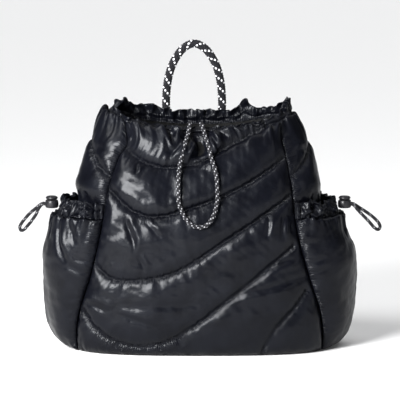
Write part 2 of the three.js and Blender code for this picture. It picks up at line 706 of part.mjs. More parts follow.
/** Point on the inner face of a strap's webbing, from its lock down to the bottom corner. */
function webbingPoint(side, v) {
  const { centre, along } = strapLockFrame(side);
  const start = centre.clone().addScaledVector(along, STRAP_LOCK_LENGTH / 2 + WEBBING_SEAT);
  const x = mix(start.x, side * HALF_WIDTH * WEBBING_END.across, v);
  const z = mix(start.z, BODY_HEIGHT * WEBBING_END.up, v);
  const standoff = start.y - backFace(start.x, start.z / BODY_HEIGHT);
  const y = backFace(x, z / BODY_HEIGHT) + mix(standoff, STRAP_SEAT, THREE.MathUtils.smoothstep(v, 0, 1));
  return new THREE.Vector3(x, y, z);
}

/** The webbing between a strap's lock and the bottom corner. */
function webbing(side) {
  return backBand((v) => webbingPoint(side, v), 2, 12, () => WEBBING_WIDTH, () => WEBBING_THICKNESS);
}

/** A rectangle as a path, given its centre and its sides. */
function rectangle(Path, x, y, width, height) {
  const path = new Path();
  path.moveTo(x - width / 2, y - height / 2);
  path.lineTo(x + width / 2, y - height / 2);
  path.lineTo(x + width / 2, y + height / 2);
  path.lineTo(x - width / 2, y + height / 2);
  path.closePath();
  return path;
}

/** The ladder lock's plate with its two slots, lying across, along and outward. */
function strapLock() {
  const plate = rectangle(THREE.Shape, 0, 0, STRAP_LOCK_WIDTH, STRAP_LOCK_LENGTH);
  for (const end of [-1, 1]) {
    const slot = rectangle(THREE.Path, 0, end * STRAP_LOCK_LENGTH * 0.2, WEBBING_WIDTH + 1, STRAP_LOCK_SLOT);
    plate.holes.push(slot);
  }
  return new THREE.ExtrudeGeometry(plate, { depth: STRAP_LOCK_THICKNESS, bevelEnabled: false });
}

/** Turns a mesh so that its x, y and z lie along three directions, and moves it to a place. */
function placeAlong(piece, { across, along, outward, centre }) {
  piece.quaternion.setFromRotationMatrix(new THREE.Matrix4().makeBasis(across, along, outward));
  piece.position.copy(centre);
  return piece;
}

/** A closed solid of manifold-3d from a geometry. */
function toSolid(geometry) {
  const bare = geometry.clone();
  bare.deleteAttribute('normal');
  bare.deleteAttribute('uv');
  const merged = mergeVertices(bare, 1e-4);
  return new wasm.Manifold(new wasm.Mesh({
    numProp: 3,
    vertProperties: new Float32Array(merged.attributes.position.array),
    triVerts: new Uint32Array(merged.index.array),
  }));
}

/** A geometry from a closed solid of manifold-3d. */
function toGeometry(solid) {
  const { vertProperties, triVerts } = solid.getMesh();
  const geometry = new THREE.BufferGeometry();
  geometry.setAttribute('position', new THREE.BufferAttribute(vertProperties, 3));
  geometry.setIndex(new THREE.BufferAttribute(triVerts, 1));
  geometry.computeVertexNormals();
  return geometry;
}

/** A round disc with softened edges, standing on z = 0. */
function softDisc(diameter, height) {
  const radius = diameter / 2;
  const profile = [
    new THREE.Vector2(0, 0),
    new THREE.Vector2(radius - LOCK_EDGE, 0),
    new THREE.Vector2(radius, LOCK_EDGE),
    new THREE.Vector2(radius, height - LOCK_EDGE),
    new THREE.Vector2(radius - LOCK_EDGE, height),
    new THREE.Vector2(0, height),
  ];
  return new THREE.LatheGeometry(profile, 24).rotateX(Math.PI / 2);
}

/** The lower half of a cord lock, with a bore for each strand of its cord. */
function lockBarrel() {
  let barrel = toSolid(softDisc(LOCK_DIAMETER, LOCK_HEIGHT));
  for (const strand of [-1, 1]) {
    const bore = new THREE.CylinderGeometry(LOCK_BORE / 2, LOCK_BORE / 2, 2 * LOCK_DIAMETER, 12)
      .rotateZ(Math.PI / 2)
      .translate(0, strand * LOCK_BORE_SPACING / 2, LOCK_HEIGHT / 2);
    barrel = barrel.subtract(toSolid(bore));
  }
  return toGeometry(barrel);
}

/** A tube along points chosen by hand. */
function cord(points, diameter, steps) {
  const places = points.map((point) => new THREE.Vector3(...point));
  return tube(new THREE.CatmullRomCurve3(places, false, 'centripetal'), diameter, CORD_SIDES, steps);
}

/** Mesh with its own plain material. */
function mesh(name, geometry, colour, roughness, metalness = 0) {
  const material = new THREE.MeshStandardMaterial({ color: colour, roughness, metalness });
  const piece = new THREE.Mesh(geometry, material);
  piece.name = name;
  return piece;
}

const SHINY_NYLON = '#15161b';
const LINING_BLACK = '#101014';
const ROPE_BLACK = '#26262c';
const PLASTIC_BLACK = '#1b1b1e';

const bag = new THREE.Group();
bag.add(mesh('front_panel', frontPanel(), SHINY_NYLON, 0.3));
bag.add(mesh('back_panel', backPanel(), LINING_BLACK, 0.5));
bag.add(mesh('base_panel', basePanel(), LINING_BLACK, 0.5));
bag.add(mesh('rim_ruffle', rimRuffle(), SHINY_NYLON, 0.35));
bag.add(mesh('handle_rope', handleRope(), ROPE_BLACK, 0.8));
for (const [hand, side] of [['left', -1], ['right', 1]]) {
  bag.add(mesh(`gusset_${hand}`, gusset(side), SHINY_NYLON, 0.3));
  bag.add(mesh(`pocket_${hand}`, pocket(side), SHINY_NYLON, 0.3));
  bag.add(mesh(`pocket_ruffle_${hand}`, pocketRuffle(side), SHINY_NYLON, 0.35));
  bag.add(mesh(`strap_${hand}`, strap(side), LINING_BLACK, 0.6));
  bag.add(mesh(`webbing_${hand}`, webbing(side), LINING_BLACK, 0.7));
  bag.add(placeAlong(mesh(`strap_lock_${hand}`, strapLock(), PLASTIC_BLACK, 0.45), strapLockFrame(side)));
  const barrel = mesh(`lock_barrel_${hand}`, lockBarrel(), PLASTIC_BLACK, 0.4);
  barrel.position.set(side * lockReach(side), 0, LOCK_SILL);
  const buttonShape = softDisc(LOCK_BUTTON_DIAMETER, LOCK_BUTTON_HEIGHT);
  const button = mesh(`lock_button_${hand}`, buttonShape, PLASTIC_BLACK, 0.4);
  button.position.set(side * lockReach(side), 0, LOCK_SILL + LOCK_HEIGHT + CLEARANCE);
  bag.add(barrel, button);
}

// The origin lies under the middle of the bag, its free cords left out
const extent = new THREE.Box3().setFromObject(bag, true);
const middle = extent.getCenter(new THREE.Vector3());

for (const hand of ['left', 'right']) {
  const loop = cord(POCKET_CORD_ROUTES[hand], POCKET_CORD_DIAMETER, POCKET_CORD_STEPS);
  bag.add(mesh(`pocket_cord_${hand}`, loop, ROPE_BLACK, 0.8));
}
bag.add(mesh('drawcord', cord(DRAWCORD_ROUTE, DRAWCORD_DIAMETER, DRAWCORD_STEPS), ROPE_BLACK, 0.8));
bag.position.set(-middle.x, -middle.y, 0);

export default bag;
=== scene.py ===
"""A quilted puffer backpack with padded walls, rope handle and cords, dressed for a studio picture."""

import logging
import math
from dataclasses import dataclass, field
from enum import Enum
from typing import Callable, Optional, Sequence

import bmesh
import bpy
import numpy as np
from mathutils import Euler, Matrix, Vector
from mathutils.geometry import delaunay_2d_cdt
from mathutils.kdtree import KDTree


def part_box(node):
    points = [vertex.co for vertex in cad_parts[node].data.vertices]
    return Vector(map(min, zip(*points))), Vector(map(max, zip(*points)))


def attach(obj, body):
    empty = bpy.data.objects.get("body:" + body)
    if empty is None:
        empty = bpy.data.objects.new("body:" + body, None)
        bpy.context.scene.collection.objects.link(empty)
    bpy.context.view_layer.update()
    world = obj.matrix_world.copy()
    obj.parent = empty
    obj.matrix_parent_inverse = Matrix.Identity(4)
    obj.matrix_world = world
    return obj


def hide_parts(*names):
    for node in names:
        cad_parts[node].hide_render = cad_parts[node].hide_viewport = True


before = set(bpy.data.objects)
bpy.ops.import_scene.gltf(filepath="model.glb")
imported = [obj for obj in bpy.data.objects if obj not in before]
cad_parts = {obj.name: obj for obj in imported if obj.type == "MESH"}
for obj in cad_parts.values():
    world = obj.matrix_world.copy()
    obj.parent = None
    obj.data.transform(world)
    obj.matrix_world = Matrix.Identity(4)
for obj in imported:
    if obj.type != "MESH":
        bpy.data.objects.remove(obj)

LOG = logging.getLogger("backpack")
MM = 0.001
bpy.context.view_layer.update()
BAG_OFFSET = np.array((0.009, -12.966, 0.0)) * MM

# Degrees between a seam and the edge of each wall beside it, and frames of the cloth press
SEAM_GAP = 0.15
PRESS_FRAMES = 22

Array = np.ndarray
Surface = Callable[[Array, Array, Array], Array]

# Level sections of the lining: height, width, depth, lean and squareness, as shares
SECTIONS = np.array((
    (0.00, 0.975, 0.93, 0.00, 2.9),
    (0.08, 1.000, 0.98, 0.00, 2.9),
    (0.25, 1.000, 1.00, 0.00, 2.8),
    (0.50, 0.970, 0.98, 0.00, 2.6),
    (0.70, 0.905, 0.92, 0.01, 2.5),
    (0.80, 0.860, 0.86, 0.02, 2.4),
    (0.89, 0.810, 0.78, 0.03, 2.3),
    (0.96, 0.757, 0.70, 0.04, 2.2),
    (1.00, 0.705, 0.65, 0.05, 2.2),
))

# Front seams: height, then the left and the right seam as shares of the half width
FRONT_SEAMS = np.array((
    (0.00, 0.95, 0.95),
    (0.18, 0.90, 0.90),
    (0.34, 0.83, 0.83),
    (0.53, 0.78, 0.77),
    (0.75, 0.77, 0.78),
    (0.87, 0.73, 0.79),
    (0.92, 0.69, 0.79),
    (1.00, 0.80, 0.84),
))

# Quilt lines of the front: shares of the half width and of the height, seen square on
QUILT_LINES = (
    ((-0.57, 0.905), (-0.43, 0.860), (-0.25, 0.842), (0.00, 0.865), (0.23, 0.925), (0.58, 0.995)),
    ((-0.69, 0.740), (-0.50, 0.650), (-0.30, 0.632), (0.15, 0.715), (0.40, 0.780), (0.66, 0.865)),
    ((-0.80, 0.415), (-0.66, 0.350), (-0.40, 0.352), (-0.15, 0.395), (0.20, 0.525), (0.71, 0.715)),
    ((-0.89, 0.205), (-0.76, 0.110), (-0.48, 0.065), (-0.15, 0.105), (0.23, 0.265), (0.71, 0.490)),
    ((0.81, 0.290), (0.72, 0.215), (0.60, 0.140), (0.43, 0.010)),
)

# Top edge of the collar: degrees round from the front centre, then shares of its height
COLLAR_TOP = np.array((
    (-180, 0.95, 0.10),
    (-158, 0.90, 0.15),
    (-146, 1.10, 0.25),
    (-136, 0.90, 0.10),
    (-127, 1.22, -0.05),
    (-114, 0.95, -0.35),
    (-98, 0.70, -0.60),
    (-86, 0.90, -0.60),
    (-74, 0.60, -0.45),
    (-60, 0.38, -0.22),
    (-35, 0.30, -0.14),
    (-12, 0.26, -0.14),
    (8, 0.26, -0.14),
    (30, 0.30, -0.14),
    (55, 0.40, -0.22),
    (70, 0.62, -0.35),
    (84, 0.74, -0.30),
    (98, 0.98, -0.10),
    (110, 1.12, 0.00),
    (120, 0.70, 0.00),
    (136, 0.74, 0.10),
    (146, 0.90, 0.15),
    (151, 1.50, 0.30),
    (156, 0.92, 0.10),
    (166, 0.90, 0.10),
    (180, 0.95, 0.10),
))

# Swell of a pocket from its foot to its mouth
POCKET_PROFILE = np.array((
    (0.00, 0.05),
    (0.02, 0.38),
    (0.05, 0.55),
    (0.10, 0.67),
    (0.25, 0.81),
    (0.45, 0.91),
    (0.66, 1.00),
    (0.85, 1.04),
    (1.00, 1.10),
))

# Rope handle's arch, as shares of its half span and of its rise
HANDLE_ARCH = (
    (-0.958, 0.000),
    (-0.990, 0.185),
    (-1.000, 0.354),
    (-0.940, 0.560),
    (-0.780, 0.750),
    (-0.500, 0.905),
    (-0.230, 0.980),
    (0.000, 1.000),
)

# Shoulder strap: along, across, up, stand-off and width, as shares
STRAP_ROUTE = np.array((
    (0.00, 0.22, 0.955, 0.00, 0.78),
    (0.14, 0.25, 0.885, 0.42, 0.96),
    (0.32, 0.30, 0.780, 0.86, 1.00),
    (0.52, 0.36, 0.665, 1.00, 1.00),
    (0.72, 0.43, 0.550, 0.92, 1.00),
    (0.88, 0.48, 0.460, 0.74, 0.86),
    (1.00, 0.51, 0.390, 0.60, 0.58),
))

# Cord routes in millimetres, the same points that the solids follow
DRAWCORD_ROUTE = (
    (-11.4, -37.8, 284.4), (-11.8, -41.6, 283.0), (-12.8, -45.4, 278.4), (-14.4, -50.0, 271.8),
    (-16.9, -57.2, 264.4), (-19.9, -63.8, 253.7), (-23.0, -67.8, 241.8), (-25.0, -72.6, 230.0),
    (-25.7, -77.8, 218.6), (-25.7, -80.8, 205.6), (-25.0, -81.4, 191.5), (-20.8, -82.2, 180.0),
    (-16.0, -84.4, 171.8), (-9.2, -86.2, 165.5), (-0.7, -86.8, 162.9), (7.7, -86.6, 164.8),
    (14.6, -85.8, 172.0), (18.7, -83.9, 181.5), (21.6, -80.2, 194.3), (21.6, -78.4, 208.9),
    (20.9, -77.0, 221.0), (18.7, -73.4, 232.8), (14.7, -67.0, 244.1), (11.2, -60.0, 258.0),
    (7.3, -52.2, 269.6), (4.4, -45.6, 278.8), (2.6, -41.8, 283.2), (1.7, -38.4, 284.4),
)
POCKET_CORD_LEFT = (
    (-187.5, 2.8, 179.5), (-196.2, 2.8, 179.5), (-201.8, 3.2, 176.0), (-207.0, 3.6, 171.6),
    (-212.6, 4.0, 166.9), (-218.3, 4.4, 160.6), (-223.0, 4.6, 154.6), (-225.4, 3.6, 149.4),
    (-223.6, 0.0, 145.8), (-219.4, -3.6, 147.6), (-213.6, -4.6, 154.0), (-208.6, -4.4, 160.4),
    (-204.0, -4.0, 167.4), (-200.8, -3.2, 174.4), (-196.2, -2.8, 179.3), (-187.5, -2.8, 179.5),
)
POCKET_CORD_RIGHT = (
    (179.4, 2.8, 179.5), (190.8, 2.8, 179.5), (195.4, 3.0, 177.4), (199.6, 3.2, 174.6),
    (204.8, 3.6, 171.2), (211.6, 4.2, 166.6), (218.4, 4.6, 161.2), (223.6, 4.6, 155.8),
    (226.2, 3.4, 150.4), (223.8, 0.0, 147.0), (218.8, -3.4, 149.6), (213.6, -4.4, 155.4),
    (208.0, -4.4, 161.6), (201.8, -4.0, 167.8), (196.2, -3.2, 174.0), (190.9, -2.8, 179.3),
    (179.4, -2.8, 179.5),
)


class Side(Enum):
    """Left or right, as seen from the front."""

    LEFT = -1
    RIGHT = 1

    @property
    def word(self) -> str:
        """Lower-case name, as the nodes use it."""
        return self.name.lower()


class Slot(Enum):
    """Material slots of the record."""

    SHELL = "shell_nylon"
    BACK = "back_nylon"
    ROPE = "braided_rope"
    WEBBING = "webbing"
    PLASTIC = "black_plastic"


# Small maths

def read(table: Array, at: Array, column: int) -> Array:
    """Reads a column of a table on a smooth curve through its rows.

    Args:
        table: Rows that rise by their first column.
        at: Keys to read at.
        column: Column to read.

    Returns:
        The values at those keys.
    """
    keys, values = table[:, 0], table[:, column]
    last = len(keys) - 1
    at = np.clip(np.asarray(at, float), keys[0], keys[-1])
    low = np.clip(np.searchsorted(keys, at, side="right") - 1, 0, last - 1)
    before = np.maximum(np.arange(last + 1) - 1, 0)
    after = np.minimum(np.arange(last + 1) + 1, last)
    slope = (values[after] - values[before]) / (keys[after] - keys[before])
    span = keys[low + 1] - keys[low]
    s = (at - keys[low]) / span
    rise = s * s * (3 - 2 * s)
    level = (1 - rise) * values[low] + rise * values[low + 1]
    return level + span * s * (1 - s) * ((1 - s) * slope[low] - s * slope[low + 1])


def smoothstep(value: Array, low: float, high: float) -> Array:
    """Smooth rise from 0 at low to 1 at high."""
    s = np.clip((np.asarray(value, float) - low) / (high - low), 0, 1)
    return s * s * (3 - 2 * s)


def mix(a: Array, b: Array, share: Array) -> Array:
    """Straight blend from a to b."""
    return a + (b - a) * share


def bell(distance: Array, width: float) -> Array:
    """A bell of height 1 and a given half width."""
    return np.exp(-((np.asarray(distance) / width) ** 2))


def unit(vectors: Array) -> Array:
    """Vectors scaled to length 1."""
    return vectors / np.maximum(np.linalg.norm(vectors, axis=-1, keepdims=True), 1e-12)


def hum(at: Array, wave: float, seed: int) -> Array:
    """Smooth irregular wave along a line, about from -1 to 1.

    Args:
        at: Places along the line.
        wave: Mean wave length.
        seed: Seed of the irregularity.

    Returns:
        The wave's height at each place.
    """
    rng = np.random.default_rng(seed)
    total = np.zeros(np.shape(at))
    for _ in range(5):
        turns = rng.uniform(0.6, 1.6) / wave
        total += rng.uniform(0.5, 1) * np.sin(2 * math.pi * (turns * at + rng.random()))
    return total / 2.2


def haze(points: Array, wave: float, seed: int, waves: int = 14) -> Array:
    """Smooth irregular field in space, about from -1 to 1.

    Args:
        points: Places, one row each.
        wave: Mean wave length.
        seed: Seed of the irregularity.
        waves: Number of plane waves that make the field.

    Returns:
        The field at each place.
    """
    rng = np.random.default_rng(seed)
    total = np.zeros(len(points))
    for _ in range(waves):
        direction = unit(rng.normal(size=3)) * rng.uniform(0.6, 1.6) * 2 * math.pi / wave
        total += np.sin(points @ direction + rng.uniform(0, 2 * math.pi))
    return total / math.sqrt(waves)


def reach_of(points: Array) -> Array:
    """Distance of each point of a polyline from its start."""
    return np.concatenate(([0], np.cumsum(np.linalg.norm(np.diff(points, axis=0), axis=1))))


def between(places: Array, reach: Array, rows: Array) -> Array:
    """Rows read at places between those that they were given for."""
    return np.column_stack([np.interp(places, reach, column) for column in rows.T])


def walk(points: Array, step: float) -> Array:
    """Points at an even step along a polyline, its ends kept."""
    reach = reach_of(points)
    count = max(2, int(round(reach[-1] / step)) + 1)
    return between(np.linspace(0, reach[-1], count), reach, points)


def smooth_route(points: Sequence[Sequence[float]], step: float) -> Array:
    """Even points on a smooth curve through given ones.

    Args:
        points: The chosen points.
        step: Distance between the points of the result.

    Returns:
        Points along the curve.
    """
    chosen = np.asarray(points, float)
    chords = np.sqrt(np.linalg.norm(np.diff(chosen, axis=0), axis=1))
    keys = np.concatenate(([0], np.cumsum(chords)))
    table = np.column_stack((keys, chosen))
    fine = np.linspace(0, keys[-1], 40 * len(chosen))
    curve = np.column_stack([read(table, fine, 1 + axis) for axis in range(chosen.shape[1])])
    return walk(curve, step)


def vertex_normals(points: Array, faces: Array) -> Array:
    """Mean outward direction at each point of a triangle mesh.

    Args:
        points: Vertices.
        faces: Triangles.

    Returns:
        One direction for each vertex.
    """
    a, b, c = (points[faces[:, k]] for k in range(3))
    across = np.cross(b - a, c - a)
    total = np.zeros_like(points)
    for k in range(3):
        np.add.at(total, faces[:, k], across)
    return unit(total)


# Meshes

def add_object(name: str, data: bpy.types.ID) -> bpy.types.Object:
    """Puts a new object into the scene."""
    thing = bpy.data.objects.new(name, data)
    bpy.context.scene.collection.objects.link(thing)
    return thing


def add_piece(
    name: str,
    points: Array,
    faces: Sequence[Sequence[int]],
    finishes: Sequence[bpy.types.Material],
    slot: Slot,
    uv: Optional[Array] = None,
    finish_index: Optional[Array] = None,
    replaces: Sequence[str] = (),
) -> bpy.types.Object:
    """Makes a smooth mesh object that rides on the bag.

    Args:
        name: Name of the piece.
        points: Vertices in the bag's own frame.
        faces: Vertex indices of each face.
        finishes: Materials, one or more.
        slot: Record slot that the finish comes from; not used.
        uv: Two numbers for each vertex, where the finish needs them.
        finish_index: Which finish each face takes.
        replaces: CAD nodes that the piece stands for.

    Returns:
        The new object.
    """
    mesh = bpy.data.meshes.new(name)
    mesh.from_pydata((points + BAG_OFFSET).tolist(), [], [list(map(int, f)) for f in faces])
    for finish in finishes:
        mesh.materials.append(finish)
    if finish_index is not None:
        mesh.polygons.foreach_set("material_index", np.asarray(finish_index, np.int32))
    if uv is not None:
        corner = np.zeros(len(mesh.loops), np.int32)
        mesh.loops.foreach_get("vertex_index", corner)
        layer = mesh.uv_layers.new(name="seam")
        layer.data.foreach_set("uv", np.asarray(uv, np.float32)[corner].ravel())
    mesh.polygons.foreach_set("use_smooth", np.ones(len(mesh.polygons), bool))
    mesh.update()
    piece = add_object(name, mesh)
    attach(piece, "root")
    if replaces:
        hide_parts(*replaces)
    LOG.info("%s: %d vertices, %d faces", name, len(points), len(mesh.polygons))
    return piece


def grid_faces(columns: int, rows: int, ring: bool = False, flip: bool = False) -> list[list[int]]:
    """Quads of a grid whose vertices run column by column within each row.

    Args:
        columns: Vertices in a row.
        rows: Number of rows.
        ring: Whether the last column joins the first.
        flip: Whether the faces look the other way.

    Returns:
        The quads' vertex indices.
    """
    quads = []
    for row in range(rows - 1):
        for column in range(columns if ring else columns - 1):
            right = (column + 1) % columns
            quad = [row * columns + column, row * columns + right]
            quad += [(row + 1) * columns + right, (row + 1) * columns + column]
            quads.append(quad[::-1] if flip else quad)
    return quads


def turned_faces(columns: int, rows: int) -> list[list[int]]:
    """Faces of a closed turned body: its rings, then its two end caps."""
    caps = [list(range(columns))[::-1], [(rows - 1) * columns + k for k in range(columns)]]
    return grid_faces(columns, rows, ring=True) + caps


def grid_border(columns: int, rows: int) -> list[int]:
    """Vertices round a grid, its first row first."""
    right = [row * columns + columns - 1 for row in range(1, rows)]
    last = [(rows - 1) * columns + column for column in range(columns - 2, -1, -1)]
    return [*range(columns), *right, *last, *[row * columns for row in range(rows - 2, 0, -1)]]


def bridge(loop: Sequence[int], shift: int) -> list[list[int]]:
    """Quads from a closed loop of vertices to the same loop of a second grid."""
    return [[a, b, shift + b, shift + a] for a, b in zip(loop, [*loop[1:], loop[0]])]


def double_faces(columns: int, rows: int, ring: bool = False) -> list[list[int]]:
    """Faces of an outer grid, of an inner one after it and of the edges between them."""
    count = columns * rows
    inner = [[k + count for k in quad] for quad in grid_faces(columns, rows, ring, True)]
    if ring:
        edges = bridge(range(count - columns, count), count) + bridge(range(columns)[::-1], count)
    else:
        edges = bridge(grid_border(columns, rows)[::-1], count)
    return grid_faces(columns, rows, ring) + inner + edges


def grid_normals(points: Array, quads: Sequence[Sequence[int]]) -> Array:
    """Mean outward direction at each point of a grid of quads."""
    corners = np.array(quads)
    return vertex_normals(points, np.vstack((corners[:, [0, 1, 2]], corners[:, [0, 2, 3]])))


def flat_tree(chart: Array) -> KDTree:
    """Search tree over chart points."""
    tree = KDTree(len(chart))
    for index, (x, y) in enumerate(chart):
        tree.insert((x, y, 0), index)
    tree.balance()
    return tree


def edge_pairs(faces: Array) -> Array:
    """The edges of triangles, all first edges first."""
    return np.sort(np.vstack([faces[:, [0, 1]], faces[:, [1, 2]], faces[:, [2, 0]]]), axis=1)


def triangulate(border: Array, lines: Sequence[Array], spacing: float, seed: int) -> tuple:
    """Triangles inside a border that keep to given lines.

    Args:
        border: The outline's points in order.
        lines: Open polylines inside the outline, already at an even step.
        spacing: Distance between the inner points.
        seed: Seed of the inner points' scatter.

    Returns:
        Points, triangles, and for each point whether it lies on a line.
    """
    rng = np.random.default_rng(seed)
    low, high = border.min(0), border.max(0)
    rows = int((high[1] - low[1]) / (spacing * 0.866))
    columns = int((high[0] - low[0]) / spacing) + 1
    row, column = np.meshgrid(np.arange(1, rows), np.arange(columns + 1), indexing="ij")
    inner = np.column_stack((
        (low[0] + (column + 0.5 * (row % 2)) * spacing).ravel(),
        (low[1] + row * (high[1] - low[1]) / rows).ravel(),
    ))
    inner += rng.uniform(-0.16, 0.16, inner.shape) * spacing
    fixed = np.vstack([border, *lines])
    tree = flat_tree(fixed)
    inside = np.all((inner > low + 0.4 * spacing) & (inner < high - 0.4 * spacing), axis=1)
    clear = [tree.find((x, y, 0))[2] > 0.62 * spacing for x, y in inner]
    inner = inner[inside & np.array(clear, bool)]
    places = np.vstack((fixed, inner))
    edges, start = [], len(border)
    for line in lines:
        edges += [(start + k, start + k + 1) for k in range(len(line) - 1)]
        start += len(line)
    loop = [list(range(len(border)))]
    found = delaunay_2d_cdt([Vector(p) for p in places], edges, loop, 1, 1e-7, True)
    points = np.array([(p.x, p.y) for p in found[0]])
    on_line = np.array([any(len(border) <= k < len(fixed) for k in origin) for origin in found[3]])
    faces = np.array([face for face in found[2] if len(face) == 3])
    return points, faces, on_line


def subdivide(points: Array, faces: Array, extra: Array, sharp: Array) -> tuple:
    """One step of smooth subdivision of a triangle mesh, with its border and stitched lines kept.

    Args:
        points: Vertices.
        faces: Triangles.
        extra: More columns that are only averaged, such as chart places.
        sharp: Whether each vertex lies on a stitched line.

    Returns:
        The finer points, faces, extra columns and sharp flags.
    """
    count = len(points)
    opposite = np.concatenate((faces[:, 2], faces[:, 0], faces[:, 1]))
    edges, inverse, uses = np.unique(edge_pairs(faces), axis=0, return_inverse=True, return_counts=True)
    inverse = inverse.ravel()
    a, b = edges.T
    facing = np.zeros((len(edges), 3))
    np.add.at(facing, inverse, points[opposite])
    hard = (uses == 1) | (sharp[a] & sharp[b])
    halfway = (points[a] + points[b]) / 2
    middle = 0.375 * (points[a] + points[b]) + 0.125 * facing
    middle[hard] = halfway[hard]
    valence = np.zeros(count)
    around = np.zeros((count, 3))
    hard_count = np.zeros(count)
    hard_around = np.zeros((count, 3))
    for first, second in ((a, b), (b, a)):
        np.add.at(valence, first, 1)
        np.add.at(around, first, points[second])
        np.add.at(hard_count, first, hard)
        np.add.at(hard_around, first, points[second] * hard[:, None])
    weight = (3 / (8 * valence))[:, None]
    moved = (1 - valence[:, None] * weight) * points + weight * around
    on_hard = hard_count == 2
    moved[on_hard] = 0.75 * points[on_hard] + 0.125 * hard_around[on_hard]
    held = (hard_count == 1) | (hard_count > 2)
    moved[held] = points[held]
    ab, bc, ca = (count + inverse[k * len(faces):(k + 1) * len(faces)] for k in range(3))
    f0, f1, f2 = faces.T
    finer = np.vstack([
        np.column_stack((f0, ab, ca)),
        np.column_stack((ab, f1, bc)),
        np.column_stack((ca, bc, f2)),
        np.column_stack((ab, bc, ca)),
    ])
    extra = np.vstack((extra, (extra[a] + extra[b]) / 2))
    sharp = np.concatenate((sharp, sharp[a] & sharp[b]))
    return np.vstack((moved, middle)), finer, extra, sharp


def soften(values: Array, faces: Array, rounds: int, share: Array) -> Array:
    """Evens values out between neighbouring points of a mesh.

    Args:
        values: Rows of numbers, one row for each point.
        faces: Triangles.
        rounds: How often each point is drawn to its neighbours' mean.
        share: How far each point is drawn, from 0 to 1.

    Returns:
        The softened values.
    """
    a, b = np.unique(edge_pairs(faces), axis=0).T
    count = len(values)
    uses = np.bincount(a, minlength=count) + np.bincount(b, minlength=count)
    for _ in range(rounds):
        total = np.column_stack([
            np.bincount(a, column[b], count) + np.bincount(b, column[a], count) for column in values.T
        ])
        values = mix(values, total / uses[:, None], share[:, None])
    return values


def border_loop(faces: Array) -> Array:
    """Vertices of a mesh's border in order.

    Args:
        faces: Triangles of one sheet without holes.

    Returns:
        The border's vertices, once round.
    """
    directed = {(a, b) for f in faces.tolist() for a, b in ((f[0], f[1]), (f[1], f[2]), (f[2], f[0]))}
    onward = {a: b for a, b in directed if (b, a) not in directed}
    first = min(onward)
    loop = [first]
    while onward[loop[-1]] != first:
        loop.append(onward[loop[-1]])
    return np.array(loop)


# Finishes

class NodeBoard:
    """A material's node tree with short calls for adding and joining nodes."""

    def __init__(self, name: str) -> None:
        """Starts a material that holds only its shader and output.

        Args:
            name: Name of the material.
        """
        self.material = bpy.data.materials.new(name)
        self.material.use_nodes = True
        self.tree = self.material.node_tree
        self.shader = self.tree.nodes["Principled BSDF"]

    def add(self, kind: str, inputs: Optional[dict] = None, **settings: object) -> bpy.types.Node:
        """Adds a node.

        Args:
            kind: Blender's name of the node type.
            inputs: Values or sockets for its inputs, by name or index.
            **settings: Properties of the node.

        Returns:
            The node.
        """
        node = self.tree.nodes.new(kind)
        for key, value in settings.items():
            setattr(node, key, value)
        for key, value in (inputs or {}).items():
            self.feed(node.inputs[key], value)
        return node

    def feed(self, socket: bpy.types.NodeSocket, value: object) -> None:
        """Gives an input a value or joins a socket to it."""
        if isinstance(value, bpy.types.NodeSocket):
            self.tree.links.new(value, socket)
        else:
            socket.default_value = value

    def math(self, operation: str, a: object, b: object = 0.0) -> bpy.types.NodeSocket:
        """Result of a math node on two values or sockets."""
        return self.add("ShaderNodeMath", {0: a, 1: b}, operation=operation).outputs[0]

    def ripple(self, place: bpy.types.NodeSocket, turns: float) -> bpy.types.NodeSocket:
        """Sine wave along a place, with its turns in radians for each metre."""
        return self.math("SINE", self.math("MULTIPLY", place, turns))

    def place(self) -> bpy.types.NodeSocket:
        """Place on the object, in metres."""
        return self.add("ShaderNodeTexCoord").outputs["Object"]

    def noise(self, scale: float, detail: float = 2, distortion: float = 0) -> bpy.types.NodeSocket:
        """Noise of a scale in waves for each metre."""
        inputs = {"Vector": self.place(), "Scale": scale, "Detail": detail, "Distortion": distortion}
        return self.add("ShaderNodeTexNoise", inputs).outputs["Fac"]

    def span(self, source: bpy.types.NodeSocket, low: float, high: float) -> bpy.types.NodeSocket:
        """Maps the middle of a noise to a range."""
        inputs = {0: source, 1: 0.3, 2: 0.7, 3: low, 4: high}
        return self.add("ShaderNodeMapRange", inputs).outputs[0]

    def bump(
        self,
        height: bpy.types.NodeSocket,
        depth: float,
        strength: float = 1.0,
        normal: Optional[bpy.types.NodeSocket] = None,
    ) -> bpy.types.NodeSocket:
        """Adds relief of a depth in metres over an earlier one."""
        inputs = {"Height": height, "Distance": depth, "Strength": strength}
        if normal is not None:
            inputs["Normal"] = normal
        return self.add("ShaderNodeBump", inputs).outputs[0]

    def seam(self) -> tuple:
        """Distance along and away from the nearest stitched line, in metres."""
        layer = self.add("ShaderNodeUVMap", uv_map="seam").outputs[0]
        parts = self.add("ShaderNodeSeparateXYZ", {0: layer})
        return parts.outputs[0], parts.outputs[1]

    def blend(self, share: bpy.types.NodeSocket, a: tuple, b: tuple) -> bpy.types.NodeSocket:
        """Colour between two colours."""
        inputs = {0: share, 6: (*a, 1), 7: (*b, 1)}
        return self.add("ShaderNodeMix", inputs, data_type="RGBA").outputs[2]

    def finish(self, **values: object) -> bpy.types.Material:
        """Sets the shader's sockets and returns the material.

        Args:
            **values: Values or sockets, with underscores for spaces in the names.

        Returns:
            The finished material.
        """
        for key, value in values.items():
            self.feed(self.shader.inputs[key.replace("_", " ")], value)
        return self.material


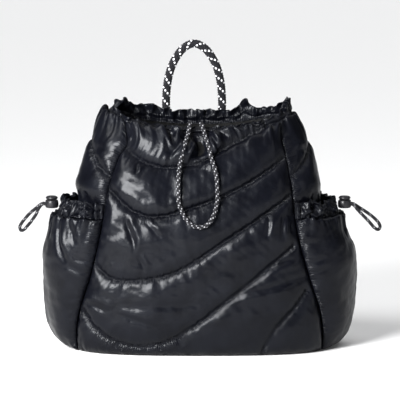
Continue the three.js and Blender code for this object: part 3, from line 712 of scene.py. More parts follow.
@dataclass(frozen=True)
class GlossyNylon:
    """Thin shiny puffer cloth with puckers along its stitched lines."""

    name: str = "glossy_nylon"
    dark: tuple = (0.0012, 0.0013, 0.0023)
    light: tuple = (0.0026, 0.0029, 0.0046)
    rough_low: float = 0.33
    rough_high: float = 0.43
    crinkle: float = 0.35 * MM
    pucker_pitch: float = 2.1 * MM
    pucker_depth: float = 0.55 * MM
    pucker_reach: float = 2.6 * MM

    def build(self) -> bpy.types.Material:
        """Makes the material."""
        board = NodeBoard(self.name)
        along, away = board.seam()
        wave = board.ripple(along, 2 * math.pi / self.pucker_pitch)
        fade = board.math("EXPONENT", board.math("MULTIPLY", away, -1 / self.pucker_reach))
        relief = board.bump(board.math("MULTIPLY", wave, fade), self.pucker_depth, 0.6)
        relief = board.bump(board.noise(95, 3, 1.6), self.crinkle, 0.45, relief)
        relief = board.bump(board.noise(300, 3, 0.8), self.crinkle * 0.5, 0.7, relief)
        relief = board.bump(board.noise(2200, 2), 0.07 * MM, 0.5, relief)
        colour = board.blend(board.span(board.noise(38, 2), 0, 1), self.dark, self.light)
        rough = board.span(board.noise(55, 3, 0.5), self.rough_low, self.rough_high)
        return board.finish(
            Base_Color=colour, Roughness=rough, Specular_IOR_Level=0.062, Normal=relief,
            Specular_Tint=(0.86, 0.91, 1.0, 1.0), Coat_Weight=0.10, Coat_Roughness=0.15,
            Coat_Normal=relief,
        )


@dataclass(frozen=True)
class SatinNylon:
    """Stouter cloth of the back, base and straps, with a fine square weave."""

    name: str = "satin_nylon"
    dark: tuple = (0.010, 0.0105, 0.013)
    light: tuple = (0.017, 0.0175, 0.021)
    shine: float = 0.4
    sheen: float = 0.08
    weave_pitch: float = 0.9 * MM

    def build(self) -> bpy.types.Material:
        """Makes the material."""
        board = NodeBoard(self.name)
        parts = board.add("ShaderNodeSeparateXYZ", {0: board.place()})
        turns = 2 * math.pi / self.weave_pitch
        warp = board.ripple(parts.outputs[0], turns)
        weft = board.ripple(parts.outputs[2], turns)
        relief = board.bump(board.math("MULTIPLY", warp, weft), 0.10 * MM, 0.6)
        relief = board.bump(board.noise(120, 3, 0.6), 0.7 * MM, 0.4, relief)
        colour = board.blend(board.span(board.noise(60, 3), 0, 1), self.dark, self.light)
        rough = board.span(board.noise(200, 2), 0.42, 0.58)
        return board.finish(
            Base_Color=colour, Roughness=rough, Specular_IOR_Level=self.shine, Normal=relief,
            Sheen_Weight=self.sheen, Sheen_Roughness=0.5,
        )


@dataclass(frozen=True)
class Yarn:
    """Filament yarn of a braided cord, its fibres along the strand."""

    name: str
    dark: tuple
    light: tuple
    rough: float = 0.55
    fibres: float = 9.0

    def build(self) -> bpy.types.Material:
        """Makes the material."""
        board = NodeBoard(self.name)
        _, around = board.seam()
        relief = board.bump(board.ripple(around, self.fibres), 0.09 * MM, 0.7)
        relief = board.bump(board.noise(1500, 2), 0.08 * MM, 0.5, relief)
        colour = board.blend(board.span(board.noise(900, 2), 0, 1), self.dark, self.light)
        return board.finish(
            Base_Color=colour, Roughness=self.rough, Normal=relief, Specular_IOR_Level=0.2,
        )


@dataclass(frozen=True)
class WovenTape:
    """Ribbed webbing: ridges across, seen by the tape's own places."""

    name: str = "woven_tape"
    rib_pitch: float = 1.5 * MM

    def build(self) -> bpy.types.Material:
        """Makes the material."""
        board = NodeBoard(self.name)
        along, across = board.seam()
        turns = 2 * math.pi / self.rib_pitch
        ribs = board.ripple(along, turns)
        yarns = board.ripple(across, turns * 0.8)
        relief = board.bump(board.math("ADD", ribs, board.math("MULTIPLY", yarns, 0.6)), 0.22 * MM)
        relief = board.bump(board.noise(1300, 2), 0.08 * MM, 0.5, relief)
        colour = board.blend(board.noise(500, 2), (0.010, 0.010, 0.012), (0.022, 0.022, 0.026))
        return board.finish(Base_Color=colour, Roughness=0.62, Normal=relief, Sheen_Weight=0.12)


@dataclass(frozen=True)
class MouldedPlastic:
    """Satin moulded plastic with a faint grain."""

    name: str = "moulded_plastic"

    def build(self) -> bpy.types.Material:
        """Makes the material."""
        board = NodeBoard(self.name)
        relief = board.bump(board.noise(2200, 2), 0.04 * MM, 0.5)
        colour = board.blend(board.noise(90, 2), (0.005, 0.005, 0.006), (0.010, 0.010, 0.012))
        rough = board.span(board.noise(300, 2), 0.30, 0.42)
        return board.finish(
            Base_Color=colour, Roughness=rough, Normal=relief, Specular_IOR_Level=0.25,
        )


@dataclass(frozen=True)
class Wardrobe:
    """Every finish, made once."""

    shell: bpy.types.Material
    back: bpy.types.Material
    lining: bpy.types.Material
    yarn: bpy.types.Material
    fleck: bpy.types.Material
    cord_fleck: bpy.types.Material
    thread: bpy.types.Material
    tape: bpy.types.Material
    plastic: bpy.types.Material

    @staticmethod
    def stock() -> "Wardrobe":
        """Makes the finishes."""
        return Wardrobe(
            shell=GlossyNylon().build(),
            back=SatinNylon().build(),
            lining=SatinNylon("lining_cloth", (0.002,) * 3, (0.004,) * 3, 0.06, 0.0).build(),
            yarn=Yarn("black_yarn", (0.003, 0.003, 0.004), (0.009, 0.009, 0.012)).build(),
            fleck=Yarn("white_yarn", (0.55, 0.55, 0.57), (0.80, 0.80, 0.82), 0.5).build(),
            cord_fleck=Yarn("grey_yarn", (0.16, 0.16, 0.17), (0.38, 0.38, 0.40), 0.5).build(),
            thread=Yarn("black_thread", (0.012, 0.012, 0.015), (0.03, 0.03, 0.035), 0.4).build(),
            tape=WovenTape().build(),
            plastic=MouldedPlastic().build(),
        )


# The lining that every wall is sewn round

@dataclass(frozen=True)
class Lining:
    """The bag's lining: level sections that change from the foot to the mouth."""

    half_width: float = 160 * MM
    half_depth: float = 73 * MM
    height: float = 274 * MM
    foot: float = 8.3 * MM
    side_rise: float = 18 * MM
    cinch_depth: float = 9 * MM
    cinch_width: float = 46 * MM
    back_seam: float = 0.80

    def point(self, turn: Array, level: Array) -> Array:
        """Point at degrees round from the front centre and a share of the height.

        Args:
            turn: Degrees, positive towards the right.
            level: Share from the foot to the mouth.

        Returns:
            The point on the lining.
        """
        turn, level = np.broadcast_arrays(np.asarray(turn, float), np.asarray(level, float))
        rise = np.maximum(level, 0)
        side, front = np.sin(np.radians(turn)), np.cos(np.radians(turn))
        square = read(SECTIONS, rise, 4)
        reach = (np.abs(side) ** square + np.abs(front) ** square) ** (-1 / square)
        x = self.half_width * read(SECTIONS, rise, 1) * side * reach
        cinch = self.cinch_depth * rise ** 10 * bell(x, self.cinch_width) * (front > 0)
        y = self.half_depth * (read(SECTIONS, rise, 3) - read(SECTIONS, rise, 2) * front * reach) + cinch
        z = self.foot + (self.height - self.foot) * level + self.side_rise * rise ** 3 * side ** 2
        return np.stack((x, y, z), axis=-1)

    def normal(self, turn: Array, level: Array) -> Array:
        """Outward direction, level at the foot and at the top edge.

        Args:
            turn: Degrees, positive towards the right.
            level: Share from the foot to the mouth.

        Returns:
            The direction.
        """
        near = np.clip(level, 0.004, 0.996)
        across = self.point(turn + 0.5, near) - self.point(turn - 0.5, near)
        up = self.point(turn, near + 0.004) - self.point(turn, near - 0.004)
        outward = unit(np.cross(across, up))
        outward[..., 2] *= smoothstep(level, 0, 0.07) * (1 - smoothstep(level, 0.93, 1))
        return unit(outward)

    def level(self, z: Array) -> Array:
        """Share of the height from the foot to the mouth."""
        return (z - self.foot) / (self.height - self.foot)

    def wall(self, turn: Array, level: Array, off: Array) -> Array:
        """Point at a distance out from the lining."""
        return self.point(turn, level) + self.normal(turn, level) * np.asarray(off)[..., None]

    def turn_at(self, share: Array, level: Array, behind: bool) -> Array:
        """Degrees round at a share of the half width, in front or behind."""
        square = read(SECTIONS, level, 4)
        size = np.minimum(np.abs(share), 0.9999)
        turn = np.degrees(np.arctan2(size, (1 - size ** square) ** (1 / square)))
        return np.sign(share) * (180 - turn if behind else turn)

    def seam(self, side: Side, level: Array, behind: bool) -> Array:
        """Degrees round of a side's front or back seam at a share of the height."""
        level = np.clip(level, 0, 1)
        column = 1 if side is Side.LEFT else 2
        share = self.back_seam + 0 * level if behind else read(FRONT_SEAMS, level, column)
        return self.turn_at(side.value * share, level, behind)

    def side_turn(self, side: Side, u: Array, level: Array) -> Array:
        """Degrees round at a share across a side's wall, between its two seams."""
        front = self.seam(side, level, False) + side.value * SEAM_GAP
        back = self.seam(side, level, True) - side.value * SEAM_GAP
        return mix(front, back, u) if side is Side.RIGHT else mix(back, front, u)

    def back(self, x: Array, level: Array) -> Array:
        """How far back the back wall's lining lies."""
        square = read(SECTIONS, level, 4)
        wide = self.half_width * read(SECTIONS, level, 1)
        deep = self.half_depth * read(SECTIONS, level, 2)
        inside = np.maximum(1 - np.abs(x / wide) ** square, 0)
        return self.half_depth * read(SECTIONS, level, 3) + deep * inside ** (1 / square)


LINING = Lining()


# Padded walls, cut flat, sewn down and blown up as cloth

@dataclass(frozen=True)
class Fold:
    """A crease in the cloth: chart shares, half width, depth and how full its sides are."""

    path: tuple
    width: float
    depth: float
    lip: float


def folds_from(rows: Sequence[Sequence[float]], mirrored: bool = False) -> tuple:
    """Folds written as rows of numbers.

    Args:
        rows: Chart shares across and up of each point, then width and depth in millimetres and lip.
        mirrored: Whether the shares across count from the other side.

    Returns:
        The folds.
    """
    folds = []
    for *places, width, depth, lip in rows:
        path = tuple((1 - u if mirrored else u, v) for u, v in zip(places[::2], places[1::2]))
        folds.append(Fold(path, width * MM, depth * MM, lip))
    return tuple(folds)


@dataclass
class Cloth:
    """A sewn sheet on its way from a flat cut to a padded wall."""

    points: Array
    faces: Array
    chart: Array
    sewn: Array
    edge: Array


@dataclass
class PaddedWall:
    """A wall that is cut flat, stitched along lines and padded between them."""

    node: str
    surface: Surface
    size: tuple
    kind: str = "padded"
    slot: Slot = Slot.SHELL
    fill: float = 0.6
    quilt: Sequence[Array] = ()
    folds: Sequence[Fold] = ()
    rise: float = 9 * MM
    seam: float = 3 * MM
    puff_radius: float = 26 * MM
    spacing: float = 3.4 * MM
    slack: float = 0.07
    pressure: float = 4.0
    cap: float = 9 * MM
    pucker: float = 0.9 * MM
    seed: int = 1
    top_roll: float = 2.4
    top_lift: float = 3 * MM
    top_reach: float = 40 * MM
    top_dip: tuple = (0.5, 0.0, 0.1)
    top_lean: float = 0.0
    sag: float = 0.0
    top_gather: float = 1.3 * MM
    gather_wave: float = 11 * MM
    right_pucker: float = 1.0
    even: int = 14
    begun: float = 0.62
    lining_gap: float = 0.2 * MM
    lining_spacing: float = 11 * MM
    cloth: Optional[Cloth] = None

    @property
    def name(self) -> str:
        """Name of the piece."""
        return f"{self.node}_{self.kind}"

    def outline(self) -> Array:
        """Border of the flat cut at an even step."""
        wide, high = self.size
        corners = np.array(((0, 0), (wide, 0), (wide, high), (0, high), (0, 0)), float)
        sides = [walk(corners[k:k + 2], self.spacing)[:-1] for k in range(4)]
        return np.vstack(sides)

    def on_bag(self, chart: Array, off: Array) -> Array:
        """Places on the bag of chart points at distances from the lining."""
        wide, high = self.size
        return self.surface(chart[:, 0] / wide, chart[:, 1] / high, off)

    def nearest(self, chart: Array, with_top: bool = True) -> tuple:
        """Nearest stitched line of each chart point.

        Args:
            chart: Chart points.
            with_top: Whether the top border counts as a line.

        Returns:
            Distance to the line, place along it, and a number for the line and its side.
        """
        wide, high = self.size
        border = [(0, high), (0, 0), (wide, 0), (wide, high)] + [(0, high)] * with_top
        lines = [walk(np.array(border), MM), *[walk(line, MM) for line in self.quilt]]
        samples = np.vstack(lines)
        along = np.concatenate([np.arange(len(line)) * MM for line in lines])
        which = np.concatenate([np.full(len(line), k) for k, line in enumerate(lines)])
        forward = np.vstack([np.gradient(line, axis=0) for line in lines])
        tree = flat_tree(samples)
        found = [tree.find((x, y, 0))[1:] for x, y in chart]
        index, gap = (np.array(column) for column in zip(*found))
        to_point = chart - samples[index]
        turned = forward[index, 0] * to_point[:, 1] - forward[index, 1] * to_point[:, 0]
        return gap, along[index], which[index] * 2 + (turned > 0)

    def on_border(self, chart: Array) -> Array:
        """Whether each chart point lies on the border."""
        return np.minimum(chart, self.size - chart).min(1) < 1e-6

    def push(self, shift: Array) -> None:
        """Moves each point of the cloth straight out by a distance."""
        cloth = self.cloth
        cloth.points = cloth.points + vertex_normals(cloth.points, cloth.faces) * shift[:, None]

    def cut(self) -> None:
        """Cuts the sheet and lays it on the bag with its padding begun."""
        chart, faces, on_line = triangulate(self.outline(), self.quilt, self.spacing, self.seed)
        edge = self.on_border(chart)
        swell = self.swell(chart)
        share = self.begun
        lean = self.top_lean * smoothstep(chart[:, 1] / self.size[1], 0.84, 0.97)
        off = self.seam + swell * (share * self.rise - lean) + self.hang(chart)
        points = self.on_bag(chart, off)
        points[:, 2] += self.lift(chart) * swell
        rough = haze(points, 24 * MM, self.seed + 9) + 0.6 * haze(points, 11 * MM, self.seed + 10)
        self.cloth = Cloth(points, faces, chart, on_line | edge, edge)
        self.push(rough * swell * 0.3 * MM)

    def hang(self, chart: Array) -> Array:
        """How far each puff sags forward, most in its lower third.

        Args:
            chart: Chart points.

        Returns:
            Distance out for each point.
        """
        wide, high = self.size
        above, below = np.full(len(chart), high), np.zeros(len(chart))
        for line in self.quilt:
            row = line[np.argsort(line[:, 0])]
            level = np.interp(chart[:, 0], row[:, 0], row[:, 1])
            spans = (chart[:, 0] >= row[0, 0]) & (chart[:, 0] <= row[-1, 0])
            over = spans & (level > chart[:, 1])
            above = np.where(over, np.minimum(above, level), above)
            below = np.where(spans & ~over, np.maximum(below, level), below)
        share = np.clip((chart[:, 1] - below) / np.maximum(above - below, MM), 0, 1)
        sag = share ** 0.6 * (1 - share) ** 1.4 / 0.295
        sides = smoothstep(np.minimum(chart[:, 0], wide - chart[:, 0]), 0, 28 * MM)
        upper = smoothstep(chart[:, 1] / high, 0.40, 0.55)
        return self.sag * sag * sides * upper * smoothstep(above - below, 8 * MM, 45 * MM)

    def lift(self, chart: Array) -> Array:
        """How far the roll at the top edge stands up, unevenly along it."""
        below = self.size[1] - chart[:, 1]
        middle, depth, width = self.top_dip
        uneven = 0.8 + 0.28 * hum(chart[:, 0], 38 * MM, self.seed + 30)
        dip = 1 - depth * bell(chart[:, 0] / self.size[0] - middle, width)
        return self.top_lift * uneven * dip * (1 - smoothstep(below, 5 * MM, self.top_reach))

    def swell(self, chart: Array) -> Array:
        """Share of the full padding at chart points, which rolls over quickly at the top."""
        gap, _, _ = self.nearest(chart, False)
        gap = np.minimum(gap, self.top_roll * (self.size[1] - chart[:, 1]))
        return np.sqrt(1 - (1 - np.clip(gap / self.puff_radius, 0, 1)) ** 2)

    def pinned_object(self) -> bpy.types.Object:
        """A stand-in of the sheet, ready for the cloth press."""
        cloth = self.cloth
        mesh = bpy.data.meshes.new(self.name + "_press")
        mesh.from_pydata(cloth.points.tolist(), [], cloth.faces.tolist())
        sheet = add_object(self.name + "_press", mesh)
        group = sheet.vertex_groups.new(name="sewn")
        group.add(np.flatnonzero(cloth.sewn).tolist(), 1.0, "REPLACE")
        modifier = sheet.modifiers.new("press", "CLOTH")
        settings = modifier.settings
        settings.quality = 6
        settings.mass = 0.05
        settings.use_pressure = True
        settings.uniform_pressure_force = self.pressure
        settings.vertex_group_mass = "sewn"
        settings.effector_weights.gravity = 0
        settings.shrink_min = -self.slack
        settings.tension_stiffness = 15
        settings.compression_stiffness = 15
        settings.shear_stiffness = 5
        settings.bending_stiffness = 0.25
        modifier.point_cache.frame_end = PRESS_FRAMES
        return sheet

    def take(self, pressed: Array) -> None:
        """Takes the pressed shape over, each point's travel capped.

        Args:
            pressed: Points of the sheet after the press.
        """
        travel = pressed - self.cloth.points
        size = np.linalg.norm(travel, axis=1, keepdims=True)
        travel *= self.cap * np.tanh(size / self.cap) / np.maximum(size, 1e-9)
        gap, _, _ = self.nearest(self.cloth.chart)
        free = ~self.cloth.sewn * mix(0.12, 0.75, smoothstep(gap, 3 * MM, 14 * MM))
        travel = soften(travel, self.cloth.faces, self.even, free)
        self.cloth.points = self.cloth.points + travel

    def crease(self) -> None:
        """Presses the chosen folds into the cloth."""
        chart = self.cloth.chart
        shift = np.zeros(len(chart))
        keep = smoothstep(self.nearest(chart, False)[0], 0, 7 * MM)
        keep *= 1 - smoothstep(chart[:, 1], self.size[1] - 5 * MM, self.size[1])
        for fold in self.folds:
            path = walk(smooth_route(np.array(fold.path) * self.size, 2 * MM), MM)
            away = chart[:, None, :] - path[None]
            gaps = np.linalg.norm(away, axis=2)
            index = gaps.argmin(1)
            gap = gaps.min(1)
            share = index / (len(path) - 1)
            fade = np.sin(math.pi * share) ** 0.8
            ahead = np.gradient(path, axis=0)[index]
            aside = away[np.arange(len(gap)), index]
            signed = gap * np.sign(ahead[:, 0] * aside[:, 1] - ahead[:, 1] * aside[:, 0])
            lip = bell(signed - 2.0 * fold.width, 1.5 * fold.width)
            shift += fade * fold.depth * (fold.lip * lip - bell(gap, 1.15 * fold.width))
        self.push(shift * keep)

    def gather(self) -> None:
        """Adds the short puckers that the stitching draws into the cloth beside it."""
        (wide, high), chart = self.size, self.cloth.chart
        gap, along, line = self.nearest(chart)
        shift = np.zeros(len(gap))
        for key in np.unique(line):
            mask = line == key
            s = along[mask]
            long_wave = hum(s, 17 * MM, 50 + int(key)) * np.exp(-gap[mask] / (9 * MM))
            short_wave = hum(s, 5.2 * MM, 80 + int(key)) * np.exp(-gap[mask] / (3.6 * MM))
            shift[mask] = 0.75 * long_wave + 0.85 * short_wave
        calm = mix(1, self.right_pucker, smoothstep(chart[:, 0] / wide, 0.4, 0.7))
        shift *= smoothstep(gap, 0, 2.4 * MM) * self.pucker * calm
        below = high - chart[:, 1]
        across = chart[:, 0] + 0.15 * below * hum(chart[:, 0], 60 * MM, self.seed + 41)
        patchy = 0.6 + 0.5 * hum(chart[:, 0], 55 * MM, self.seed + 43)
        drawn = patchy * hum(across, self.gather_wave, self.seed + 40) * np.exp(-below / (14 * MM))
        drawn += 0.5 * hum(across, 0.55 * self.gather_wave, self.seed + 42) * np.exp(-below / (6 * MM))
        sides = smoothstep(np.minimum(chart[:, 0], wide - chart[:, 0]), 0, 9 * MM)
        self.push(shift + self.top_gather * drawn * sides * smoothstep(below, 0, 4 * MM))

    def close(self, stock: Wardrobe) -> bpy.types.Object:
        """Refines the sheet, backs it with its lining and makes the piece.

        Args:
            stock: The finishes.

        Returns:
            The closed wall.
        """
        cloth = self.cloth
        sharp = cloth.sewn & ~cloth.edge
        points, faces, chart, sewn = subdivide(cloth.points, cloth.faces, cloth.chart, sharp)
        edge = self.on_border(chart)
        self.cloth = Cloth(points, faces, chart, sewn | edge, edge)
        self.crease()
        self.gather()
        points = self.cloth.points
        loop = border_loop(faces)
        back_chart, back_faces, _ = triangulate(chart[loop], (), self.lining_spacing, self.seed + 5)
        lining = self.on_bag(back_chart, np.full(len(back_chart), self.lining_gap))
        start = len(points)
        tree = flat_tree(back_chart)
        twin = [start + tree.find((*chart[k], 0))[1] for k in loop]
        onward = np.roll(loop, -1)
        rim = [[b, a, p, q] for a, b, p, q in zip(loop, onward, twin, np.roll(twin, -1))]
        solid = [*faces.tolist(), *(back_faces[:, ::-1] + start).tolist(), *rim]
        gap, along, _ = self.nearest(chart)
        back_uv = np.full((len(back_chart), 2), (0.0, 0.05))
        uv = np.vstack((np.column_stack((along, gap)), back_uv))
        inside = np.repeat((0, 1, 0), (len(faces), len(back_faces), len(rim)))
        finishes = (stock.shell if self.slot is Slot.SHELL else stock.back, stock.lining)
        points = np.vstack((points, lining))
        piece = add_piece(self.name, points, solid, finishes, self.slot, uv, inside, [self.node])
        return piece


@dataclass
class ClothPress:
    """Blows up several sewn sheets at once with Blender's cloth."""

    walls: Sequence[PaddedWall]

    def run(self) -> None:
        """Steps the frames and hands each wall its pressed shape."""
        scene = bpy.context.scene
        sheets = [wall.pinned_object() for wall in self.walls]
        for step in range(PRESS_FRAMES):
            scene.frame_set(step + 1)
        graph = bpy.context.evaluated_depsgraph_get()
        for wall, sheet in zip(self.walls, sheets):
            shaped = sheet.evaluated_get(graph)
            flat = np.zeros(len(shaped.data.vertices) * 3, np.float32)
            shaped.data.vertices.foreach_get("co", flat)
            wall.take(flat.reshape(-1, 3).astype(float))
            LOG.info("%s pressed, %d points", wall.name, len(flat) // 3)
        for sheet in sheets:
            mesh = sheet.data
            bpy.data.objects.remove(sheet)
            bpy.data.meshes.remove(mesh)
        scene.frame_set(1)


# Stitching

@dataclass
class Stitching:
    """A row or rows of single thread stitches along lines on the cloth."""

    name: str
    pitch: float = 2.9 * MM
    length: float = 2.0 * MM
    radius: float = 0.42 * MM
    rings: Sequence[tuple] = ((-0.5, 0.35), (-0.3, 1.0), (0.3, 1.0), (0.5, 0.35))
    sides: int = 6
    paths: list = field(default_factory=list)

    def add(self, path: Array, outward: Array) -> None:
        """Adds a path and the directions out of the cloth along it."""
        self.paths.append((path, outward))

    def build(self, finish: bpy.types.Material, slot: Slot) -> bpy.types.Object:
        """Makes every stitch as one piece.

        Args:
            finish: Thread material.
            slot: Record slot.

        Returns:
            The stitches.
        """
        points, faces = [], []
        angles = np.arange(self.sides) * 2 * math.pi / self.sides
        shape = turned_faces(self.sides, len(self.rings))
        for path, outward in self.paths:
            reach = reach_of(path)
            centres = np.arange(self.pitch / 2, reach[-1], self.pitch)
            middle = between(centres, reach, path)
            ahead = between(centres + 0.5 * MM, reach, path)
            along = unit(ahead - between(centres - 0.5 * MM, reach, path))
            up = unit(between(centres, reach, outward))
            across = unit(np.cross(along, up))
            start, count = sum(len(p) for p in points), len(middle)
            for shift, share in self.rings:
                for angle in angles:
                    ring = across * math.cos(angle) + up * math.sin(angle)
                    points.append(middle + along * self.length * shift + ring * self.radius * share)
            for first in range(start, start + count):
                faces += [[first + k * count for k in face[::-1]] for face in shape]
        vertices = np.vstack(points)
        uv = np.column_stack((vertices[:, 0] + vertices[:, 2], vertices[:, 1] / self.radius))
        return add_piece(self.name, vertices, faces, [finish], slot, uv)


# The bag's walls

def chart_shares(x: Array, z: Array) -> Array:
    """Chart shares of front places seen square on."""
    level = LINING.level(z)
    turn = LINING.turn_at(x / LINING.half_width / read(SECTIONS, level, 1), level, False)
    left, right = (LINING.seam(side, level, False) for side in Side)
    return np.column_stack(((turn - left) / (right - left), level))


def front_lines(size: tuple, spacing: float) -> list[Array]:
    """The front's quilt lines in its chart, at an even step.

    Args:
        size: Width and height of the chart.
        spacing: The step.

    Returns:
        The lines, each drawn out to the border where it ends near it.
    """
    lines, near_side, near_end, trim = [], 12 * MM, 6 * MM, 4
    for row in QUILT_LINES:
        square_on = smooth_route([(x * LINING.half_width, up * LINING.height) for x, up in row], MM)
        path = chart_shares(*square_on.T) * size
        kept = path[np.all((path > 0) & (path < size), axis=1)]
        first, last = kept[0].copy(), kept[-1].copy()
        for end in (first, last):
            if end[0] < near_side:
                end[0] = 0
            elif end[0] > size[0] - near_side:
                end[0] = size[0]
            elif end[1] > size[1] - near_end:
                end[1] = size[1]
            elif end[1] < near_end:
                end[1] = 0
        lines.append(walk(np.vstack((first, kept[trim:-trim], last)), spacing))
    return lines


def low_foot(points: Array, level: Array) -> Array:
    """Draws a wall's foot down over the padded bottom."""
    lowered = points.copy()
    lowered[..., 2] -= (1 - smoothstep(level, 0, 0.10)) * 6.5 * MM
    return lowered


@dataclass
class FrontPanel:
    """The quilted front with its five stitched curves."""

    size: tuple = (300 * MM, 266 * MM)
    spacing: float = 3.4 * MM
    seam: float = 3 * MM
    rise: float = 8.5 * MM
    stitch_lift: float = 0.15 * MM
    folds: tuple = (
        (0.475, 1.01, 0.472, 0.95, 0.462, 0.885, 0.455, 0.84, 9.5, 14, 0.4),
        (0.45, 1.0, 0.40, 0.965, 0.345, 0.935, 0.30, 0.925, 5.0, 4.6, 0.7),
        (0.44, 0.97, 0.40, 0.93, 0.375, 0.895, 3.2, 3.4, 0.8),
        (0.50, 1.0, 0.545, 0.955, 0.56, 0.90, 3.6, 4.0, 0.8),
        (0.51, 1.0, 0.59, 0.975, 0.65, 0.94, 3.4, 3.6, 0.8),
        (0.52, 0.93, 0.535, 0.885, 0.55, 0.855, 3.0, 2.6, 0.8),
        (0.25, 1.0, 0.29, 0.975, 0.35, 0.965, 3.4, 3.4, 0.8),
        (0.24, 0.925, 0.29, 0.90, 0.35, 0.918, 2.6, 2.6, 0.6),
        (0.13, 0.853, 0.155, 0.80, 2.0, 1.8, 0.6),
        (0.03, 0.755, 0.11, 0.742, 0.19, 0.71, 0.27, 0.678, 4.5, 0.9, 0.2),
        (0.13, 0.62, 0.15, 0.575, 0.19, 0.505, 0.205, 0.455, 3.6, 2.0, 0.6),
        (0.23, 0.605, 0.27, 0.565, 0.32, 0.52, 2.6, 1.1, 0.6),
        (0.02, 0.213, 0.10, 0.199, 0.17, 0.177, 3.2, 1.8, 0.9),
        (0.20, 0.205, 0.33, 0.205, 0.48, 0.218, 0.61, 0.255, 4.5, 0.8, 0.4),
        (0.98, 0.337, 0.88, 0.315, 0.79, 0.29, 0.64, 0.255, 3.4, 2.0, 0.6),
        (0.22, 0.445, 0.265, 0.365, 2.6, 1.4, 0.6),
        (0.17, 0.18, 0.30, 0.13, 0.37, 0.10, 3.0, 1.3, 0.6),
        (0.97, 0.42, 0.86, 0.40, 0.76, 0.36, 3.0, 2.0, 0.6),
        (0.93, 0.62, 0.91, 0.56, 0.90, 0.50, 3.4, 1.8, 0.6),
        (0.85, 0.63, 0.84, 0.57, 0.82, 0.52, 3.0, 1.5, 0.6),
        (0.66, 0.985, 0.70, 0.955, 0.71, 0.93, 2.2, 1.8, 0.6),
        (0.76, 1.0, 0.775, 0.97, 0.78, 0.945, 2.0, 1.6, 0.6),
    )

    def surface(self, u: Array, v: Array, off: Array) -> Array:
        """Point of the front at shares across and up, at a distance from the lining."""
        left, right = (LINING.seam(side, v, False) for side in Side)
        return low_foot(LINING.wall(mix(left + SEAM_GAP, right - SEAM_GAP, u), v, off), v)

    def wall(self) -> PaddedWall:
        """The padded wall of the front."""
        return PaddedWall(
            "front_panel", self.surface, self.size, "quilted", fill=0.7,
            quilt=front_lines(self.size, self.spacing), folds=folds_from(self.folds), rise=self.rise,
            seam=self.seam, spacing=self.spacing, slack=0.06, pressure=6.5, seed=11, puff_radius=19 * MM,
            top_lift=13 * MM, top_dip=(0.475, 1.0, 0.10), top_gather=0.8 * MM, gather_wave=16 * MM,
            sag=3 * MM, even=22, right_pucker=0.35,
        )

    def stitch(self, wall: PaddedWall, stitching: Stitching) -> None:
        """Adds the stitches of the quilt lines.

        Args:
            wall: The wall whose lines are stitched.
            stitching: What collects the stitches.
        """
        for line in wall.quilt:
            fine = walk(line, MM)
            off = np.full(len(fine), self.seam + self.stitch_lift)
            low, high = wall.on_bag(fine, off), wall.on_bag(fine, off + MM)
            stitching.add(low, unit(high - low))


@dataclass
class SideGusset:
    """A side wall: thin behind its pocket and puffed above it."""

    side: Side
    size: tuple = (122 * MM, 266 * MM)
    pocket_top: float = 0.60

    def surface(self, u: Array, v: Array, off: Array) -> Array:
        """Point of the side wall at shares across and up, at a distance from the lining."""
        return LINING.wall(LINING.side_turn(self.side, u, v), v, off)

    def quilt(self) -> list[Array]:
        """The quilt line from the front seam to the back seam."""
        row = [(0, 0.775), (0.5, 0.89), (1, 0.84)]
        if self.side is Side.LEFT:
            row = [(1 - u, v) for u, v in reversed(row)]
        return [smooth_route(np.array(row) * self.size, 3.4 * MM)]

    def wall(self) -> PaddedWall:
        """The padded wall of the side."""
        rows = (
            (0.16, 0.60, 0.18, 0.655, 0.20, 0.70, 3.4, 2.4, 0.6),
            (0.30, 0.60, 0.30, 0.64, 0.31, 0.69, 3.4, 2.0, 0.6),
            (0.05, 0.86, 0.20, 0.865, 0.34, 0.855, 2.6, 1.4, 0.6),
            (0.65, 0.62, 0.62, 0.67, 0.60, 0.72, 3.4, 2.0, 0.6),
        )
        left = self.side is Side.LEFT
        return PaddedWall(
            f"gusset_{self.side.word}", self.surface, self.size, quilt=self.quilt(),
            folds=folds_from(rows, left), rise=10 * MM, slack=0.07, pressure=6,
            seed=21 + self.side.value, top_lift=(17 if left else 8) * MM, top_roll=3.2,
            top_reach=55 * MM, top_gather=1.8 * MM, top_lean=6.5 * MM,
        )

    def behind_pocket(self, wall: PaddedWall) -> None:
        """Keeps the cloth flat where the pocket covers it."""
        chart = wall.cloth.chart
        level = chart[:, 1] / self.size[1]
        flat = 1 - smoothstep(level, self.pocket_top + 0.01, self.pocket_top + 0.12)
        low = wall.on_bag(chart, np.full(len(chart), wall.seam))
        wall.cloth.points = mix(wall.cloth.points, low, flat[:, None])


